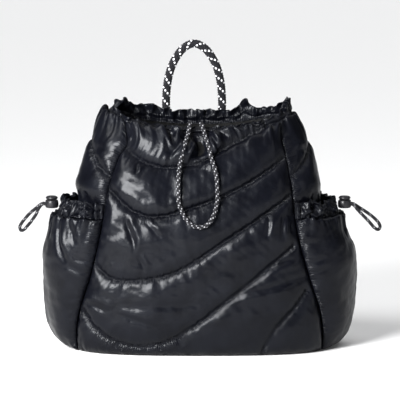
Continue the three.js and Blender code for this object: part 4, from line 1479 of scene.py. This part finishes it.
@dataclass
class SidePocket:
    """A padded side pocket whose mouth is gathered by a cord."""

    side: Side
    size: tuple = (172 * MM, 165 * MM)
    height: float = 168 * MM
    foot: float = 2 * MM
    bulge: float = 27 * MM
    neck: float = 5.5 * MM
    gap: float = 3.3 * MM

    @property
    def draw(self) -> float:
        """How far the mouth is drawn in."""
        return 1.02 if self.side is Side.LEFT else 0.86

    def wave(self, u: Array) -> Array:
        """How the gathers bend the line where the mouth's band starts."""
        return 2.2 * MM * hum(u, 1 / 8, 90 + self.side.value) * np.abs(np.sin(math.pi * u)) ** 0.5

    def standoff(self, u: Array, up: Array) -> Array:
        """Distance from the lining to the pocket's inner face."""
        belly = np.abs(np.sin(math.pi * u)) ** 0.7
        draw = mix(1, self.draw, smoothstep(up, 0.6, 1))
        neck = self.neck * belly * smoothstep(up, 0.66, 0.97)
        return self.gap + self.bulge * belly * draw * read(POCKET_PROFILE, up, 1) - neck

    def surface(self, u: Array, v: Array, off: Array) -> Array:
        """Point of the pocket at shares across and up, at a distance from its inner face."""
        z = mix(self.foot, self.height, v)
        level = LINING.level(z)
        turn = LINING.side_turn(self.side, u, level)
        points = LINING.wall(turn, np.maximum(level, 0), self.standoff(u, v) + off)
        points[..., 2] = z + self.wave(u) * smoothstep(v, 0.86, 1)
        return points

    def wall(self) -> PaddedWall:
        """The padded wall of the pocket."""
        rows = (
            (0.73, 1.0, 0.745, 0.91, 0.79, 0.79, 0.87, 0.67, 2.8, 4.6, 0.6),
            (0.81, 1.0, 0.83, 0.94, 0.86, 0.88, 0.90, 0.80, 2.4, 2.2, 0.6),
            (0.64, 1.03, 0.645, 0.95, 0.65, 0.88, 0.66, 0.82, 3.0, 2.2, 0.6),
            (0.53, 1.03, 0.52, 0.92, 0.50, 0.78, 0.49, 0.62, 4.2, 1.8, 0.6),
            (0.40, 1.03, 0.40, 0.94, 0.395, 0.86, 0.39, 0.78, 3.2, 2.0, 0.6),
            (0.24, 1.03, 0.245, 0.93, 0.25, 0.83, 0.26, 0.74, 3.4, 2.2, 0.6),
            (0.99, 0.69, 0.96, 0.69, 0.93, 0.70, 0.89, 0.73, 2.2, 0.9, 0.6),
            (0.99, 0.60, 0.95, 0.61, 0.92, 0.63, 0.88, 0.66, 2.4, 1.0, 0.6),
            (0.55, 0.66, 0.53, 0.50, 0.53, 0.34, 0.55, 0.20, 5.0, 1.4, 0.6),
        )
        folds = folds_from(rows) if self.side is Side.LEFT else folds_from(rows[2:], True)
        return PaddedWall(
            f"pocket_{self.side.word}", self.surface, self.size, folds=folds, rise=5.5 * MM,
            fill=0.5, slack=0.045, pressure=5, cap=6 * MM, pucker=0.7 * MM,
            seed=31 + self.side.value, top_lift=5 * MM, top_reach=20 * MM, top_roll=4.0,
            top_gather=2.4 * MM, gather_wave=12 * MM,
        )


@dataclass
class BackPanel:
    """The plain padded back."""

    size: tuple = (262 * MM, 266 * MM)

    def surface(self, u: Array, v: Array, off: Array) -> Array:
        """Point of the back at shares across and up, at a distance from the lining."""
        right = LINING.seam(Side.RIGHT, v, True) + SEAM_GAP
        left = LINING.seam(Side.LEFT, v, True) + (360 - SEAM_GAP)
        return low_foot(LINING.wall(mix(right, left, u), v, off), v)

    def wall(self) -> PaddedWall:
        """The padded wall of the back."""
        channels = [
            smooth_route(np.array(((0.0, v), (0.5, v - 0.015), (1.0, v))) * self.size, 4.2 * MM)
            for v in (0.26, 0.52)
        ]
        return PaddedWall(
            "back_panel", self.surface, self.size, slot=Slot.BACK, quilt=channels, rise=5 * MM,
            spacing=4.2 * MM, slack=0.03, pressure=4, cap=3.5 * MM, pucker=0.6 * MM, seed=41,
        )


@dataclass
class BasePanel:
    """The padded bottom, flat underneath, with a rounded edge."""

    thickness: float = 8 * MM
    columns: int = 180
    profile: tuple = ((0.0, -9.0), (0.02, -5.0), (0.25, -2.0), (0.6, -0.6), (0.98, -0.6), (1.0, -4.0))

    def build(self, finish: bpy.types.Material) -> bpy.types.Object:
        """Makes the piece.

        Args:
            finish: Cloth material.

        Returns:
            The padded bottom.
        """
        turn = np.arange(self.columns) * 360 / self.columns
        rim = LINING.point(turn, 0)
        outward = LINING.normal(turn, np.full(self.columns, 0.004))
        outward[:, 2] = 0
        outward = unit(outward)
        rows = []
        for up, out in self.profile:
            row = rim + outward * out * MM
            row[:, 2] = up * self.thickness
            rows.append(row)
        lowest = [rows[0] * (share, share, 1) for share in (0.25, 0.5, 0.75, 0.92)]
        rows = [*lowest, *rows, rows[-1] * (0.5, 0.5, 1)]
        points = np.vstack(rows)
        faces = turned_faces(self.columns, len(rows))
        uv = np.column_stack((points[:, 0], points[:, 1] + 0.3))
        return add_piece(
            "base_panel_padded", points, faces, [finish], Slot.BACK, uv, replaces=["base_panel"],
        )


# Gathered edges

class GatheredBand:
    """What the gathered bands share: a grid of points closed into a thin sheet."""

    def close(self, node: str, finish: bpy.types.Material, ring: bool) -> bpy.types.Object:
        """Gives the band its thickness and makes the piece.

        Args:
            node: CAD node that the band stands for.
            finish: Cloth material.
            ring: Whether the band runs all the way round.

        Returns:
            The band.
        """
        inner, along = self.points()
        outer = inner + self.thickness * grid_normals(inner, grid_faces(self.columns, self.rows, ring))
        faces = double_faces(self.columns, self.rows, ring)
        level = np.repeat(np.linspace(0, 1, self.rows), self.columns)
        away = np.minimum(np.abs(level - self.channel), level) * self.height
        uv = np.tile(np.column_stack((along, away)), (2, 1))
        return add_piece(
            f"{node}_gathered", np.vstack((outer, inner)), faces, [finish], Slot.SHELL, uv,
            replaces=[node],
        )


@dataclass
class Collar(GatheredBand):
    """The gathered collar round the mouth: a corded channel and a free frill above it."""

    height: float = 19 * MM
    thickness: float = 1.6 * MM
    columns: int = 620
    rows: int = 20
    channel: float = 0.42
    fold_wave: float = 15 * MM
    fold_depth: float = 3.1 * MM
    gather_wave: float = 5.5 * MM
    gather_depth: float = 0.5 * MM

    def points(self) -> tuple:
        """Grid of points of the collar's inner face, and their places along."""
        turn = np.linspace(-180, 180, self.columns, endpoint=False)
        foot = LINING.point(turn, np.ones(self.columns))
        reach = reach_of(foot)
        total = reach[-1] + np.linalg.norm(foot[0] - foot[-1])
        outward = LINING.normal(turn, np.full(self.columns, 0.98))
        outward[:, 2] = 0
        outward = unit(outward)
        sideways = np.column_stack((-outward[:, 1], outward[:, 0], np.zeros(self.columns)))
        phase = 2 * math.pi * reach / total
        rng = np.random.default_rng(5)
        fold, gather, jag = np.zeros((3, self.columns))
        for wave, height in ((round(total / self.fold_wave), 1.0), (round(total / 23 / MM), 0.8), (61, 0.35)):
            warp = 1.6 * np.sin(3 * phase + rng.uniform(0, 6)) + 0.9 * np.sin(7 * phase + rng.uniform(0, 6))
            fold += height * np.sin(wave * phase + warp + rng.uniform(0, 6))
        for wave in (round(total / self.gather_wave), 83, 71):
            gather += np.sin(wave * phase + 1.5 * np.sin(11 * phase) + rng.uniform(0, 6)) / 1.7
        for wave in (37, 53, 64):
            jag += np.sin(wave * phase + 2 * np.sin(5 * phase) + rng.uniform(0, 6)) / 2
        rise = read(COLLAR_TOP, turn, 1)
        flare = read(COLLAR_TOP, turn, 2)
        grid = []
        for v in np.linspace(0, 1, self.rows):
            free = float(smoothstep(v, self.channel * 0.9, 1))
            bulge = 1.6 * MM * math.sin(math.pi * min(v / self.channel, 1))
            pinch = float(bell(v - self.channel, 0.16)) + 0.8 * float(bell(v, 0.14))
            out = bulge + self.gather_depth * gather * (0.25 + 0.6 * pinch) * (1 - 0.55 * free)
            plain = foot + (0, 0, 1) * (self.height * rise * v)[:, None]
            out = out + 1.1 * MM * haze(plain, 15 * MM, 15) * float(smoothstep(v, 0, 0.3))
            out = out + self.fold_depth * fold * mix(0.2, 0.95, free)
            out = out + self.height * flare * v + 1.5 * MM * pinch * 0.2
            lean = 1.8 * MM * fold * np.cos(phase * 9) * free
            row = foot + outward * out[:, None] + sideways * lean[:, None]
            jolt = 0.8 * jag * free + 0.9 * haze(plain, 18 * MM, 16) * float(smoothstep(v, 0.1, 0.5))
            row[:, 2] += 0.3 * MM + self.height * rise * v + jolt * MM
            grid.append(row)
        return np.vstack(grid), np.tile(reach, self.rows)

    def build(self, finish: bpy.types.Material) -> bpy.types.Object:
        """Makes the piece."""
        return self.close("rim_ruffle", finish, True)


@dataclass
class PocketFrill(GatheredBand):
    """The gathered band round a pocket's mouth."""

    pocket: SidePocket
    height: float = 21 * MM
    thickness: float = 1.2 * MM
    columns: int = 230
    rows: int = 18
    channel: float = 0.55
    folds: int = 7
    fold_depth: float = 2.6 * MM

    @property
    def lean(self) -> float:
        """How far the band leans in at its top."""
        return (18 if self.pocket.side is Side.LEFT else 16) * MM

    def points(self) -> tuple:
        """Grid of points of the band's inner face, and its places along."""
        u = np.linspace(0, 1, self.columns)
        pocket = self.pocket
        level = np.full(self.columns, LINING.level(pocket.height))
        turn = LINING.side_turn(pocket.side, u, level)
        seed = 60 + pocket.side.value
        belly = np.abs(np.sin(math.pi * u)) ** 0.9
        rise = 0.92 + 0.1 * np.sin(5 * math.pi * u + 0.6)
        pinched = 1 - bell(u - 0.5, 0.09)
        wave = np.sin(2 * math.pi * self.folds * u) * pinched
        fine = hum(u, 1 / 34, seed) + 0.7 * hum(u, 1 / 58, seed + 3)
        medium = hum(u, 1 / 17, seed + 5)
        away_from_lock = 1 - 0.75 * bell(u - 0.5, 0.06)
        edge = smoothstep(u, 0, 0.04) * (1 - smoothstep(u, 0.96, 1))
        grid = []
        for v in np.linspace(0, 1, self.rows):
            grown = float(smoothstep(v, 0, 0.25))
            pinch = float(bell(v - self.channel, 0.22)) + 0.7 * float(bell(v, 0.15))
            out = self.fold_depth * mix(0.2, 1.0, v) * wave - self.lean * math.sqrt(v)
            bulge = 2.0 * MM * math.sin(math.pi * min(v / self.channel, 1))
            bulge = bulge + 3.4 * MM * bell(u - 0.5, 0.07) * float(smoothstep(v, 0.35, 0.85))
            crumple = (0.9 * MM * fine * (0.3 + pinch) + 2.5 * MM * medium * (0.6 + 0.5 * v)) * edge
            stand = pocket.standoff(u, np.ones(self.columns)) + out * belly
            stand += pocket.neck * belly * float(smoothstep(v, 0.05, 0.5))
            plain = LINING.wall(turn, level, stand)
            plain[:, 2] = pocket.height + self.height * rise * v
            knots = haze(plain, 11 * MM, seed + 11) * edge * grown
            row = LINING.wall(
                turn, level, stand + (crumple + 2.6 * MM * knots) * away_from_lock + bulge * edge,
            )
            twist = haze(plain, 13 * MM, seed + 12) * edge * grown
            wobble = (0.8 * MM * hum(u, 1 / 21, seed + 8) * v * edge + 1.8 * MM * twist) * away_from_lock
            wobble = wobble + pocket.wave(u) * (1 - float(smoothstep(v, 0, 0.8)))
            row[:, 2] = pocket.height + 0.3 * MM + self.height * rise * v + wobble
            grid.append(row)
        return np.vstack(grid), np.tile(u * pocket.size[0], self.rows)

    def build(self, finish: bpy.types.Material) -> bpy.types.Object:
        """Makes the piece."""
        return self.close(f"pocket_ruffle_{self.pocket.side.word}", finish, False)


# Ropes and cords

@dataclass
class Braid:
    """A round braid of two families of strands that pass over and under each other."""

    name: str
    diameter: float
    pitch: float
    family: int
    tracers: frozenset
    steps_per_wave: int = 6
    section: int = 6

    def frames(self, path: Array) -> tuple:
        """Directions along, and two across, of a path with no twist.

        Args:
            path: Points of the path.

        Returns:
            Along, side and up, one of each for every point.
        """
        along = unit(np.gradient(path, axis=0))
        side = np.zeros_like(path)
        first = np.cross(along[0], (0, 1, 0))
        side[0] = unit(first if np.linalg.norm(first) > 0.1 else np.cross(along[0], (1, 0, 0)))
        for k in range(1, len(path)):
            carried = side[k - 1] - along[k] * np.dot(side[k - 1], along[k])
            side[k] = carried / np.linalg.norm(carried)
        return along, side, np.cross(along, side)

    def build(
        self, route: Array, finishes: Sequence[bpy.types.Material], node: str,
    ) -> bpy.types.Object:
        """Makes the braid along a route.

        Args:
            route: Points of the centreline, at a fine even step.
            finishes: Ground and fleck yarn.
            node: CAD node that the braid stands for.

        Returns:
            The braid.
        """
        wave = self.pitch / self.family
        path = walk(route, wave / self.steps_per_wave)
        along, side, up = self.frames(path)
        s = reach_of(path)
        slope = math.atan2(math.pi * self.diameter, self.pitch)
        half_width = 0.60 * math.pi * self.diameter / self.family * math.cos(slope)
        thick = 0.17 * self.diameter
        radius = self.diameter / 2 - thick
        points, faces, uv, which = [], [], [], []
        ring = np.arange(self.section) * 2 * math.pi / self.section
        tube = [quad[::-1] for quad in grid_faces(self.section, len(s), ring=True)]
        for hand in (1, -1):
            for strand in range(self.family):
                angle = 2 * math.pi * (hand * s / self.pitch + strand / self.family)
                crossings = self.family * 2 * math.pi * s / self.pitch + hand * math.pi * strand
                lift = hand * np.cos(crossings + math.pi * strand)
                out = side * np.cos(angle)[:, None] + up * np.sin(angle)[:, None]
                around = -side * np.sin(angle)[:, None] + up * np.cos(angle)[:, None]
                heading = unit(along * math.cos(slope) + around * hand * math.sin(slope))
                across = np.cross(heading, out)
                centre = path + out * (radius + 0.42 * thick * lift)[:, None]
                rows = [
                    centre + across * half_width * math.cos(a) + out * thick * 0.85 * math.sin(a)
                    for a in ring
                ]
                start = len(points) * len(s) * self.section
                points.append(np.stack(rows, axis=1).reshape(-1, 3))
                uv.append(np.column_stack((np.repeat(s, self.section), np.tile(ring, len(s)))))
                faces += [[start + k for k in quad] for quad in tube]
                which += [int((hand, strand) in self.tracers)] * len(tube)
        return add_piece(
            self.name, np.vstack(points), faces, finishes, Slot.ROPE, np.vstack(uv), which, [node],
        )


@dataclass
class RopeHandle:
    """The carrying handle: a thick braid whose feet are sewn behind the collar."""

    diameter: float = 10 * MM
    span: float = 71 * MM
    rise: float = 108 * MM
    centre_x: float = -7 * MM
    seat: float = 7 * MM

    def route(self) -> Array:
        """Centreline from the left foot to the right."""
        arch = [*HANDLE_ARCH[:-1], *[(-across, up) for across, up in reversed(HANDLE_ARCH)]]
        left_y, right_y = (self.foot_y(end) for end in (-1, 1))
        foot_z = LINING.height - self.seat
        points = []
        for across, up in arch:
            y = mix(left_y, right_y, (across + 1) / 2)
            points.append((self.centre_x + across * self.span / 2, y, foot_z + up * self.rise))
        return smooth_route(points, MM)

    def foot_y(self, end: int) -> float:
        """How far back a foot stands, read from the CAD node's own foot."""
        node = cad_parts["handle_rope"]
        low = [v.co for v in node.data.vertices if v.co.z < LINING.height - self.seat + 3 * MM]
        foot = [co.y for co in low if (co.x - self.centre_x) * end > 0]
        return sum(foot) / len(foot) - BAG_OFFSET[1]

    def build(self, stock: Wardrobe) -> bpy.types.Object:
        """Makes the handle."""
        flecks = frozenset({(-1, 0), (-1, 4)})
        braid = Braid("handle_rope_braid", self.diameter, 27 * MM, 8, flecks)
        return braid.build(self.route(), [stock.yarn, stock.fleck], "handle_rope")


@dataclass
class FreeCord:
    """A free loop of cord that leaves the bag and goes back into it."""

    node: str
    points: tuple
    diameter: float
    tracers: frozenset
    with_pieces: tuple = ()

    def build(self, stock: Wardrobe) -> bpy.types.Object:
        """Args:
            stock: The finishes.

        Returns:
            The cord.
        """
        route = smooth_route(np.array(self.points) * MM, 0.5 * MM)
        braid = Braid(f"{self.node}_braid", self.diameter, 3 * self.diameter, 6, self.tracers)
        piece = braid.build(route, [stock.yarn, stock.cord_fleck], self.node)
        placed = walk(route, 2 * MM) + BAG_OFFSET
        list(self.with_pieces)
        return piece


@dataclass
class CordLock:
    """A round cord lock: a ribbed barrel and the button pressed into it."""

    side: Side
    segments: int = 48
    barrel: tuple = (
        (0.0, 0.0), (6.2, 0.0), (7.3, 0.35), (7.9, 1.1), (8.3, 2.4), (8.45, 4.6), (8.4, 6.6), (8.1, 8.2),
        (7.9, 8.7), (7.9, 9.1), (7.6, 9.7), (6.9, 10.0), (0.0, 10.0),
    )
    button: tuple = (
        (0.0, 0.0), (6.2, 0.0), (6.3, 0.9), (7.2, 1.2), (7.5, 1.8), (7.45, 2.7), (7.0, 3.6), (5.9, 4.4),
        (4.2, 4.75), (3.9, 4.45), (0.0, 4.55),
    )

    def turned(self, node: str, profile: tuple, finish: bpy.types.Material) -> bpy.types.Object:
        """Turns a profile round the middle of a CAD node.

        Args:
            node: CAD node that gives the place.
            profile: Radius and height pairs in millimetres.
            finish: Material.

        Returns:
            The turned piece.
        """
        low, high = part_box(node)
        centre = np.array(((low.x + high.x) / 2, (low.y + high.y) / 2, low.z)) - BAG_OFFSET
        rows = smooth_profile(np.array(profile) * MM)
        angles = np.arange(self.segments) * 2 * math.pi / self.segments
        points = np.array([
            centre + (radius * math.cos(a), radius * math.sin(a), height)
            for radius, height in rows[1:-1] for a in angles
        ])
        faces = turned_faces(self.segments, len(rows) - 2)
        uv = points[:, [0, 2]]
        return add_piece(
            f"{node}_turned", points, faces, [finish], Slot.PLASTIC, uv, replaces=[node],
        )

    def build(self, finish: bpy.types.Material) -> None:
        """Makes the two halves."""
        self.turned(f"lock_barrel_{self.side.word}", self.barrel, finish)
        self.turned(f"lock_button_{self.side.word}", self.button, finish)


def smooth_profile(profile: Array) -> Array:
    """A turned profile with each of its corners eased by two cuts.

    Args:
        profile: Radius and height pairs.

    Returns:
        The eased pairs, with the same ends.
    """
    for _ in range(2):
        near = 0.75 * profile[:-1] + 0.25 * profile[1:]
        far = 0.25 * profile[:-1] + 0.75 * profile[1:]
        cut = np.stack((near, far), axis=1).reshape(-1, 2)
        profile = np.vstack((profile[:1], cut, profile[-1:]))
    return profile


# Shoulder straps

@dataclass
class ShoulderStrap:
    """A padded shoulder strap with bound edges, its ladder lock and its webbing."""

    side: Side
    width: float = 52 * MM
    thickness: float = 9 * MM
    edge: float = 3 * MM
    standoff: float = 24 * MM
    seat: float = 1.7 * MM
    columns: int = 44
    rows: int = 130
    length: float = 137 * MM
    roll: float = 13 * MM
    stitch_inset: float = 5.5 * MM

    def back_face(self, x: Array, height: Array) -> Array:
        """Outer face of the back wall, as the solids have it.

        Args:
            x: Places across the bag.
            height: Shares of the bag's height.

        Returns:
            How far back it lies.
        """
        wide = LINING.half_width * read(SECTIONS, height, 1)
        tall = LINING.height
        to_edge = np.minimum(np.minimum(0.8 * wide - np.abs(x), height * tall), (1 - height) * tall)
        inside = 1 - np.clip(np.maximum(to_edge, 0) / (26 * MM), 0, 1)
        padding = 3 * MM + 6 * MM * np.sqrt(1 - inside ** 2)
        half = 0.5 * MM
        across = LINING.back(x + half, height) - LINING.back(x - half, height)
        up = LINING.back(x, height + half / tall) - LINING.back(x, height - half / tall)
        slope = np.sqrt(1 + (across / MM) ** 2 + (up / MM) ** 2)
        return LINING.back(x, height) + padding * slope

    def centre(self, v: Array) -> Array:
        """Middle of the strap's inner face at a share of its way down."""
        x = self.side.value * LINING.half_width * read(STRAP_ROUTE, v, 1)
        height = read(STRAP_ROUTE, v, 2)
        y = self.back_face(x, height) + self.seat + self.standoff * read(STRAP_ROUTE, v, 3)
        return np.stack((x, y, height * LINING.height), axis=-1)

    def directions(self, v: Array) -> tuple:
        """Across and outward directions at shares of the way down."""
        along = unit(self.centre(np.minimum(v + 0.02, 1)) - self.centre(np.maximum(v - 0.02, 0)))
        across = unit(np.cross(along, (0, 1, 0)))
        return across, unit(np.cross(across, along))

    def face(self, u: Array, v: Array, off: Array) -> Array:
        """Points of the strap at shares across and along, at a distance from its inner face.

        Args:
            u: Shares across.
            v: Shares along, from the top.
            off: Distances out.

        Returns:
            One point for each set of three.
        """
        across, outward = self.directions(v)
        middle = self.centre(v)
        height = middle[..., 2] / LINING.height
        gap = middle[..., 1] - self.back_face(middle[..., 0], height)
        width = self.width * read(STRAP_ROUTE, v, 4)
        inner = middle + across * ((u - 0.5) * width)[..., None]
        inner[..., 1] = self.back_face(inner[..., 0], inner[..., 2] / LINING.height) + gap
        return inner + outward * np.asarray(off)[..., None]

    def pad(self, stock: Wardrobe, stitching: Stitching) -> bpy.types.Object:
        """The padded strap with a bound edge.

        Args:
            stock: The finishes.
            stitching: What collects the stitches.

        Returns:
            The strap.
        """
        u, v = np.meshgrid(np.linspace(0, 1, self.columns), np.linspace(0, 1, self.rows))
        u, v = u.ravel(), v.ravel()
        width = self.width * read(STRAP_ROUTE, v, 4)
        to_edge = np.minimum(np.minimum(u, 1 - u) * width, np.minimum(v, 1 - v) * self.length)
        inside = 1 - np.clip(to_edge / self.roll, 0, 1)
        swell = np.sqrt(1 - inside ** 2)
        groove = bell(to_edge - self.stitch_inset, 1.1 * MM) * 0.9 * MM
        binding = bell(to_edge - 2.2 * MM, 2.2 * MM) * 0.9 * MM
        outer_off = self.edge + (self.thickness - self.edge) * swell - groove + binding
        flat = self.face(u, v, outer_off)
        wrinkle = haze(flat, 17 * MM, 71 + self.side.value) * 0.35 * MM
        wrinkle += haze(flat * (1, 1, 2.4), 13 * MM, 75 + self.side.value) * 0.3 * MM
        outer = self.face(u, v, outer_off + wrinkle * swell)
        inner = self.face(u, v, 0.25 * groove + wrinkle * 0.25)
        faces = double_faces(self.columns, self.rows)
        uv = np.tile(np.column_stack((v * 0.2, to_edge)), (2, 1))
        node = f"strap_{self.side.word}"
        piece = add_piece(
            f"{node}_padded", np.vstack((outer, inner)), faces, [stock.back], Slot.BACK, uv,
            replaces=[node],
        )
        self.stitch(stitching)
        return piece

    def stitch(self, stitching: Stitching) -> None:
        """Adds the stitches beside the bound edges.

        Args:
            stitching: What collects the stitches.
        """
        v = np.linspace(0.03, 0.97, 160)
        width = self.width * read(STRAP_ROUTE, v, 4)
        inside = 1 - self.stitch_inset / self.roll
        off = self.edge + (self.thickness - self.edge) * math.sqrt(1 - inside ** 2) - 0.6 * MM
        for edge in (-1, 1):
            u = 0.5 + edge * (0.5 - self.stitch_inset / width)
            low = self.face(u, v, np.full(len(v), off))
            high = self.face(u, v, np.full(len(v), off + MM))
            stitching.add(low, unit(high - low))

    def webbing(self, finish: bpy.types.Material) -> bpy.types.Object:
        """The webbing, following the CAD solid's own rows from the lock to the corner.

        Args:
            finish: Tape material.

        Returns:
            The webbing.
        """
        node = f"webbing_{self.side.word}"
        corners, faces = cad_shape(node)
        x, _, z = corners.T
        uv = np.column_stack((z - z.min(), x - np.interp(z, *line_fit(z, x))))
        return add_piece(
            f"{node}_woven", corners, faces, [finish], Slot.WEBBING, uv, replaces=[node],
        )

    def lock(self, finish: bpy.types.Material) -> bpy.types.Object:
        """The ladder lock with its edges eased.

        Args:
            finish: Plastic material.

        Returns:
            The lock.
        """
        node = f"strap_lock_{self.side.word}"
        corners, faces = cad_shape(node)
        piece = add_piece(
            f"{node}_eased", corners, faces, [finish], Slot.PLASTIC, corners[:, [0, 2]],
            replaces=[node],
        )
        ease_edges(piece, 0.9 * MM, 3)
        return piece


def cad_shape(node: str) -> tuple:
    """Corners, in the bag's own frame, and faces of a CAD node."""
    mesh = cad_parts[node].data
    corners = np.array([v.co for v in mesh.vertices]) - BAG_OFFSET
    return corners, [tuple(p.vertices) for p in mesh.polygons]


def line_fit(keys: Array, values: Array) -> tuple:
    """Ends of the straight line that fits values best."""
    slope, start = np.polyfit(keys, values, 1)
    ends = np.array((keys.min(), keys.max()))
    return ends, start + slope * ends


def ease_edges(piece: bpy.types.Object, width: float, segments: int) -> None:
    """Rounds a hard piece's edges.

    Args:
        piece: Mesh object whose edges are sharp.
        width: Width of the rounding.
        segments: Faces across the rounding.
    """
    body = bmesh.new()
    body.from_mesh(piece.data)
    bmesh.ops.remove_doubles(body, verts=body.verts, dist=1e-6)
    bmesh.ops.dissolve_limit(body, angle_limit=math.radians(4), verts=body.verts, edges=body.edges)
    sharp = [e for e in body.edges if e.is_manifold and e.calc_face_angle(0) > math.radians(30)]
    bmesh.ops.bevel(body, geom=sharp, offset=width, segments=segments, profile=0.6, affect="EDGES")
    bmesh.ops.triangulate(body, faces=[f for f in body.faces if len(f.verts) > 4])
    body.to_mesh(piece.data)
    body.free()
    piece.data.polygons.foreach_set("use_smooth", np.ones(len(piece.data.polygons), bool))


# The studio

def turn_to(place: Vector, target: Vector) -> Euler:
    """Turn that points a lamp or camera at a target."""
    return (target - place).to_track_quat("-Z", "Y").to_euler()


@dataclass
class Studio:
    """Pale floor and surround, soft lights and the camera."""

    target: tuple = (0.0005, -0.013, 0.1842)
    distance: float = 3.0
    elevation: float = 8.0
    lens: float = 216.0
    pale: tuple = (0.92, 0.95, 1, 1)
    horizon: tuple = (0.09, 0.16)
    glow: float = 0.7
    surround: float = 0.08
    floor_reach: float = 12.0
    floor_drop: float = 0.5 * MM

    def shoot(self) -> None:
        """Places the camera in front of the bag."""
        angle = math.radians(self.elevation)
        data = bpy.data.cameras.new("camera")
        data.lens = self.lens
        data.sensor_width = 36
        data.clip_end = 50
        camera = add_object("camera", data)
        target = Vector(self.target)
        back = Vector((0, -math.cos(angle), math.sin(angle)))
        camera.location = target + back * self.distance
        camera.rotation_euler = turn_to(camera.location, target)
        bpy.context.scene.camera = camera

    def soft_light(self, name: str, place: tuple, size: tuple, power: float, aim: tuple) -> None:
        """Adds a rectangular soft light.

        Args:
            name: Name of the light.
            place: Where it stands.
            size: Its width and height.
            power: Its power in watts.
            aim: What it points at.
        """
        data = bpy.data.lights.new(name, "AREA")
        data.shape = "RECTANGLE"
        data.size, data.size_y = size
        data.energy = power
        lamp = add_object(name, data)
        lamp.location = place
        lamp.rotation_euler = turn_to(Vector(place), Vector(aim))

    def far_light(self, name: str, towards: tuple, strength: float, spread: float) -> None:
        """Adds a far soft light that is even over the whole floor.

        Args:
            name: Name of the light.
            towards: Direction from the bag to the light.
            strength: Its strength.
            spread: Its angular size in degrees.
        """
        data = bpy.data.lights.new(name, "SUN")
        data.energy = strength
        data.angle = math.radians(spread)
        lamp = add_object(name, data)
        lamp.rotation_euler = Vector(towards).to_track_quat("Z", "Y").to_euler()

    def light(self) -> None:
        """Sets the surround and the lights."""
        world = bpy.data.worlds.new("studio")
        world.use_nodes = True
        nodes, links = world.node_tree.nodes, world.node_tree.links
        ground = nodes["Background"]
        ground.inputs["Color"].default_value = self.pale
        sky = nodes.new("ShaderNodeTexCoord")
        parts = nodes.new("ShaderNodeSeparateXYZ")
        fade = nodes.new("ShaderNodeMapRange")
        for socket, value in zip(list(fade.inputs)[1:5], (*self.horizon, self.glow, self.surround)):
            socket.default_value = value
        links.new(sky.outputs["Generated"], parts.inputs[0])
        links.new(parts.outputs[2], fade.inputs[0])
        links.new(fade.outputs[0], ground.inputs["Strength"])
        bpy.context.scene.world = world
        self.far_light("key", (-0.78, -0.45, 1.0), 1.8, 24)
        self.far_light("top", (0.15, 0.25, 1.0), 1.5, 70)
        self.soft_light("sheen", (-0.74, -1.19, 0.68), (0.56, 0.56), 67, (-0.03, -0.08, 0.2))
        self.soft_light("fill", (1.2, -1.2, 0.7), (0.8, 0.8), 3, (0, 0, 0.18))
        bpy.context.scene.view_settings.view_transform = "Standard"

    def floor(self) -> bpy.types.Object:
        """Adds the pale floor."""
        board = NodeBoard("pale_floor")
        board.finish(Base_Color=(0.92, 0.92, 0.92, 1), Roughness=0.8, Specular_IOR_Level=0.1)
        mesh = bpy.data.meshes.new("floor")
        reach = self.floor_reach
        square = ((-reach, -reach), (reach, -reach), (reach, reach), (-reach, reach))
        mesh.from_pydata([(x, y, -self.floor_drop) for x, y in square], [], [(0, 1, 2, 3)])
        mesh.materials.append(board.material)
        floor = add_object("floor", mesh)
        return floor


# The whole bag

@dataclass
class Backpack:
    """The whole bag, built piece by piece."""

    stock: Wardrobe

    def cords(self) -> None:
        """Makes the cords, their locks and the handle."""
        for side in Side:
            CordLock(side).build(self.stock.plastic)
        flecks = frozenset({(1, 0), (1, 3)})
        FreeCord("drawcord", DRAWCORD_ROUTE, 5 * MM, flecks).build(self.stock)
        flecks = frozenset({(1, 0)})
        for side, route in zip(Side, (POCKET_CORD_LEFT, POCKET_CORD_RIGHT)):
            halves = tuple(f"lock_{half}_{side.word}_turned" for half in ("barrel", "button"))
            FreeCord(f"pocket_cord_{side.word}", route, 4 * MM, flecks, halves).build(self.stock)
        RopeHandle().build(self.stock)

    def walls(self) -> None:
        """Cuts, presses and closes the padded walls."""
        stock, front = self.stock, FrontPanel()
        gussets = [SideGusset(side) for side in Side]
        pockets = [SidePocket(side) for side in Side]
        front_wall = front.wall()
        gusset_walls = [gusset.wall() for gusset in gussets]
        walls = [front_wall, BackPanel().wall(), *gusset_walls, *[pocket.wall() for pocket in pockets]]
        for wall in walls:
            wall.cut()
        for gusset, wall in zip(gussets, gusset_walls):
            gusset.behind_pocket(wall)
        ClothPress(walls).run()
        for gusset, wall in zip(gussets, gusset_walls):
            gusset.behind_pocket(wall)
        for wall in walls:
            wall.close(stock)
        thread = Stitching("quilt_stitches")
        for wall in (front_wall, *gusset_walls):
            front.stitch(wall, thread)
        thread.build(stock.thread, Slot.SHELL)
        BasePanel().build(stock.back)
        Collar().build(stock.shell)
        for pocket in pockets:
            PocketFrill(pocket).build(stock.shell)

    def straps(self) -> None:
        """Makes both shoulder straps."""
        thread = Stitching("strap_stitches")
        for side in Side:
            strap = ShoulderStrap(side)
            strap.pad(self.stock, thread)
            strap.webbing(self.stock.tape)
            strap.lock(self.stock.plastic)
        thread.build(self.stock.thread, Slot.BACK)


def main() -> None:
    """Builds the picture."""
    logging.basicConfig(level=logging.INFO, format="%(message)s")
    studio = Studio()
    studio.shoot()
    studio.light()
    studio.floor()
    bag = Backpack(Wardrobe.stock())
    bag.cords()
    bag.walls()
    bag.straps()


if __name__ == "__main__":
    main()
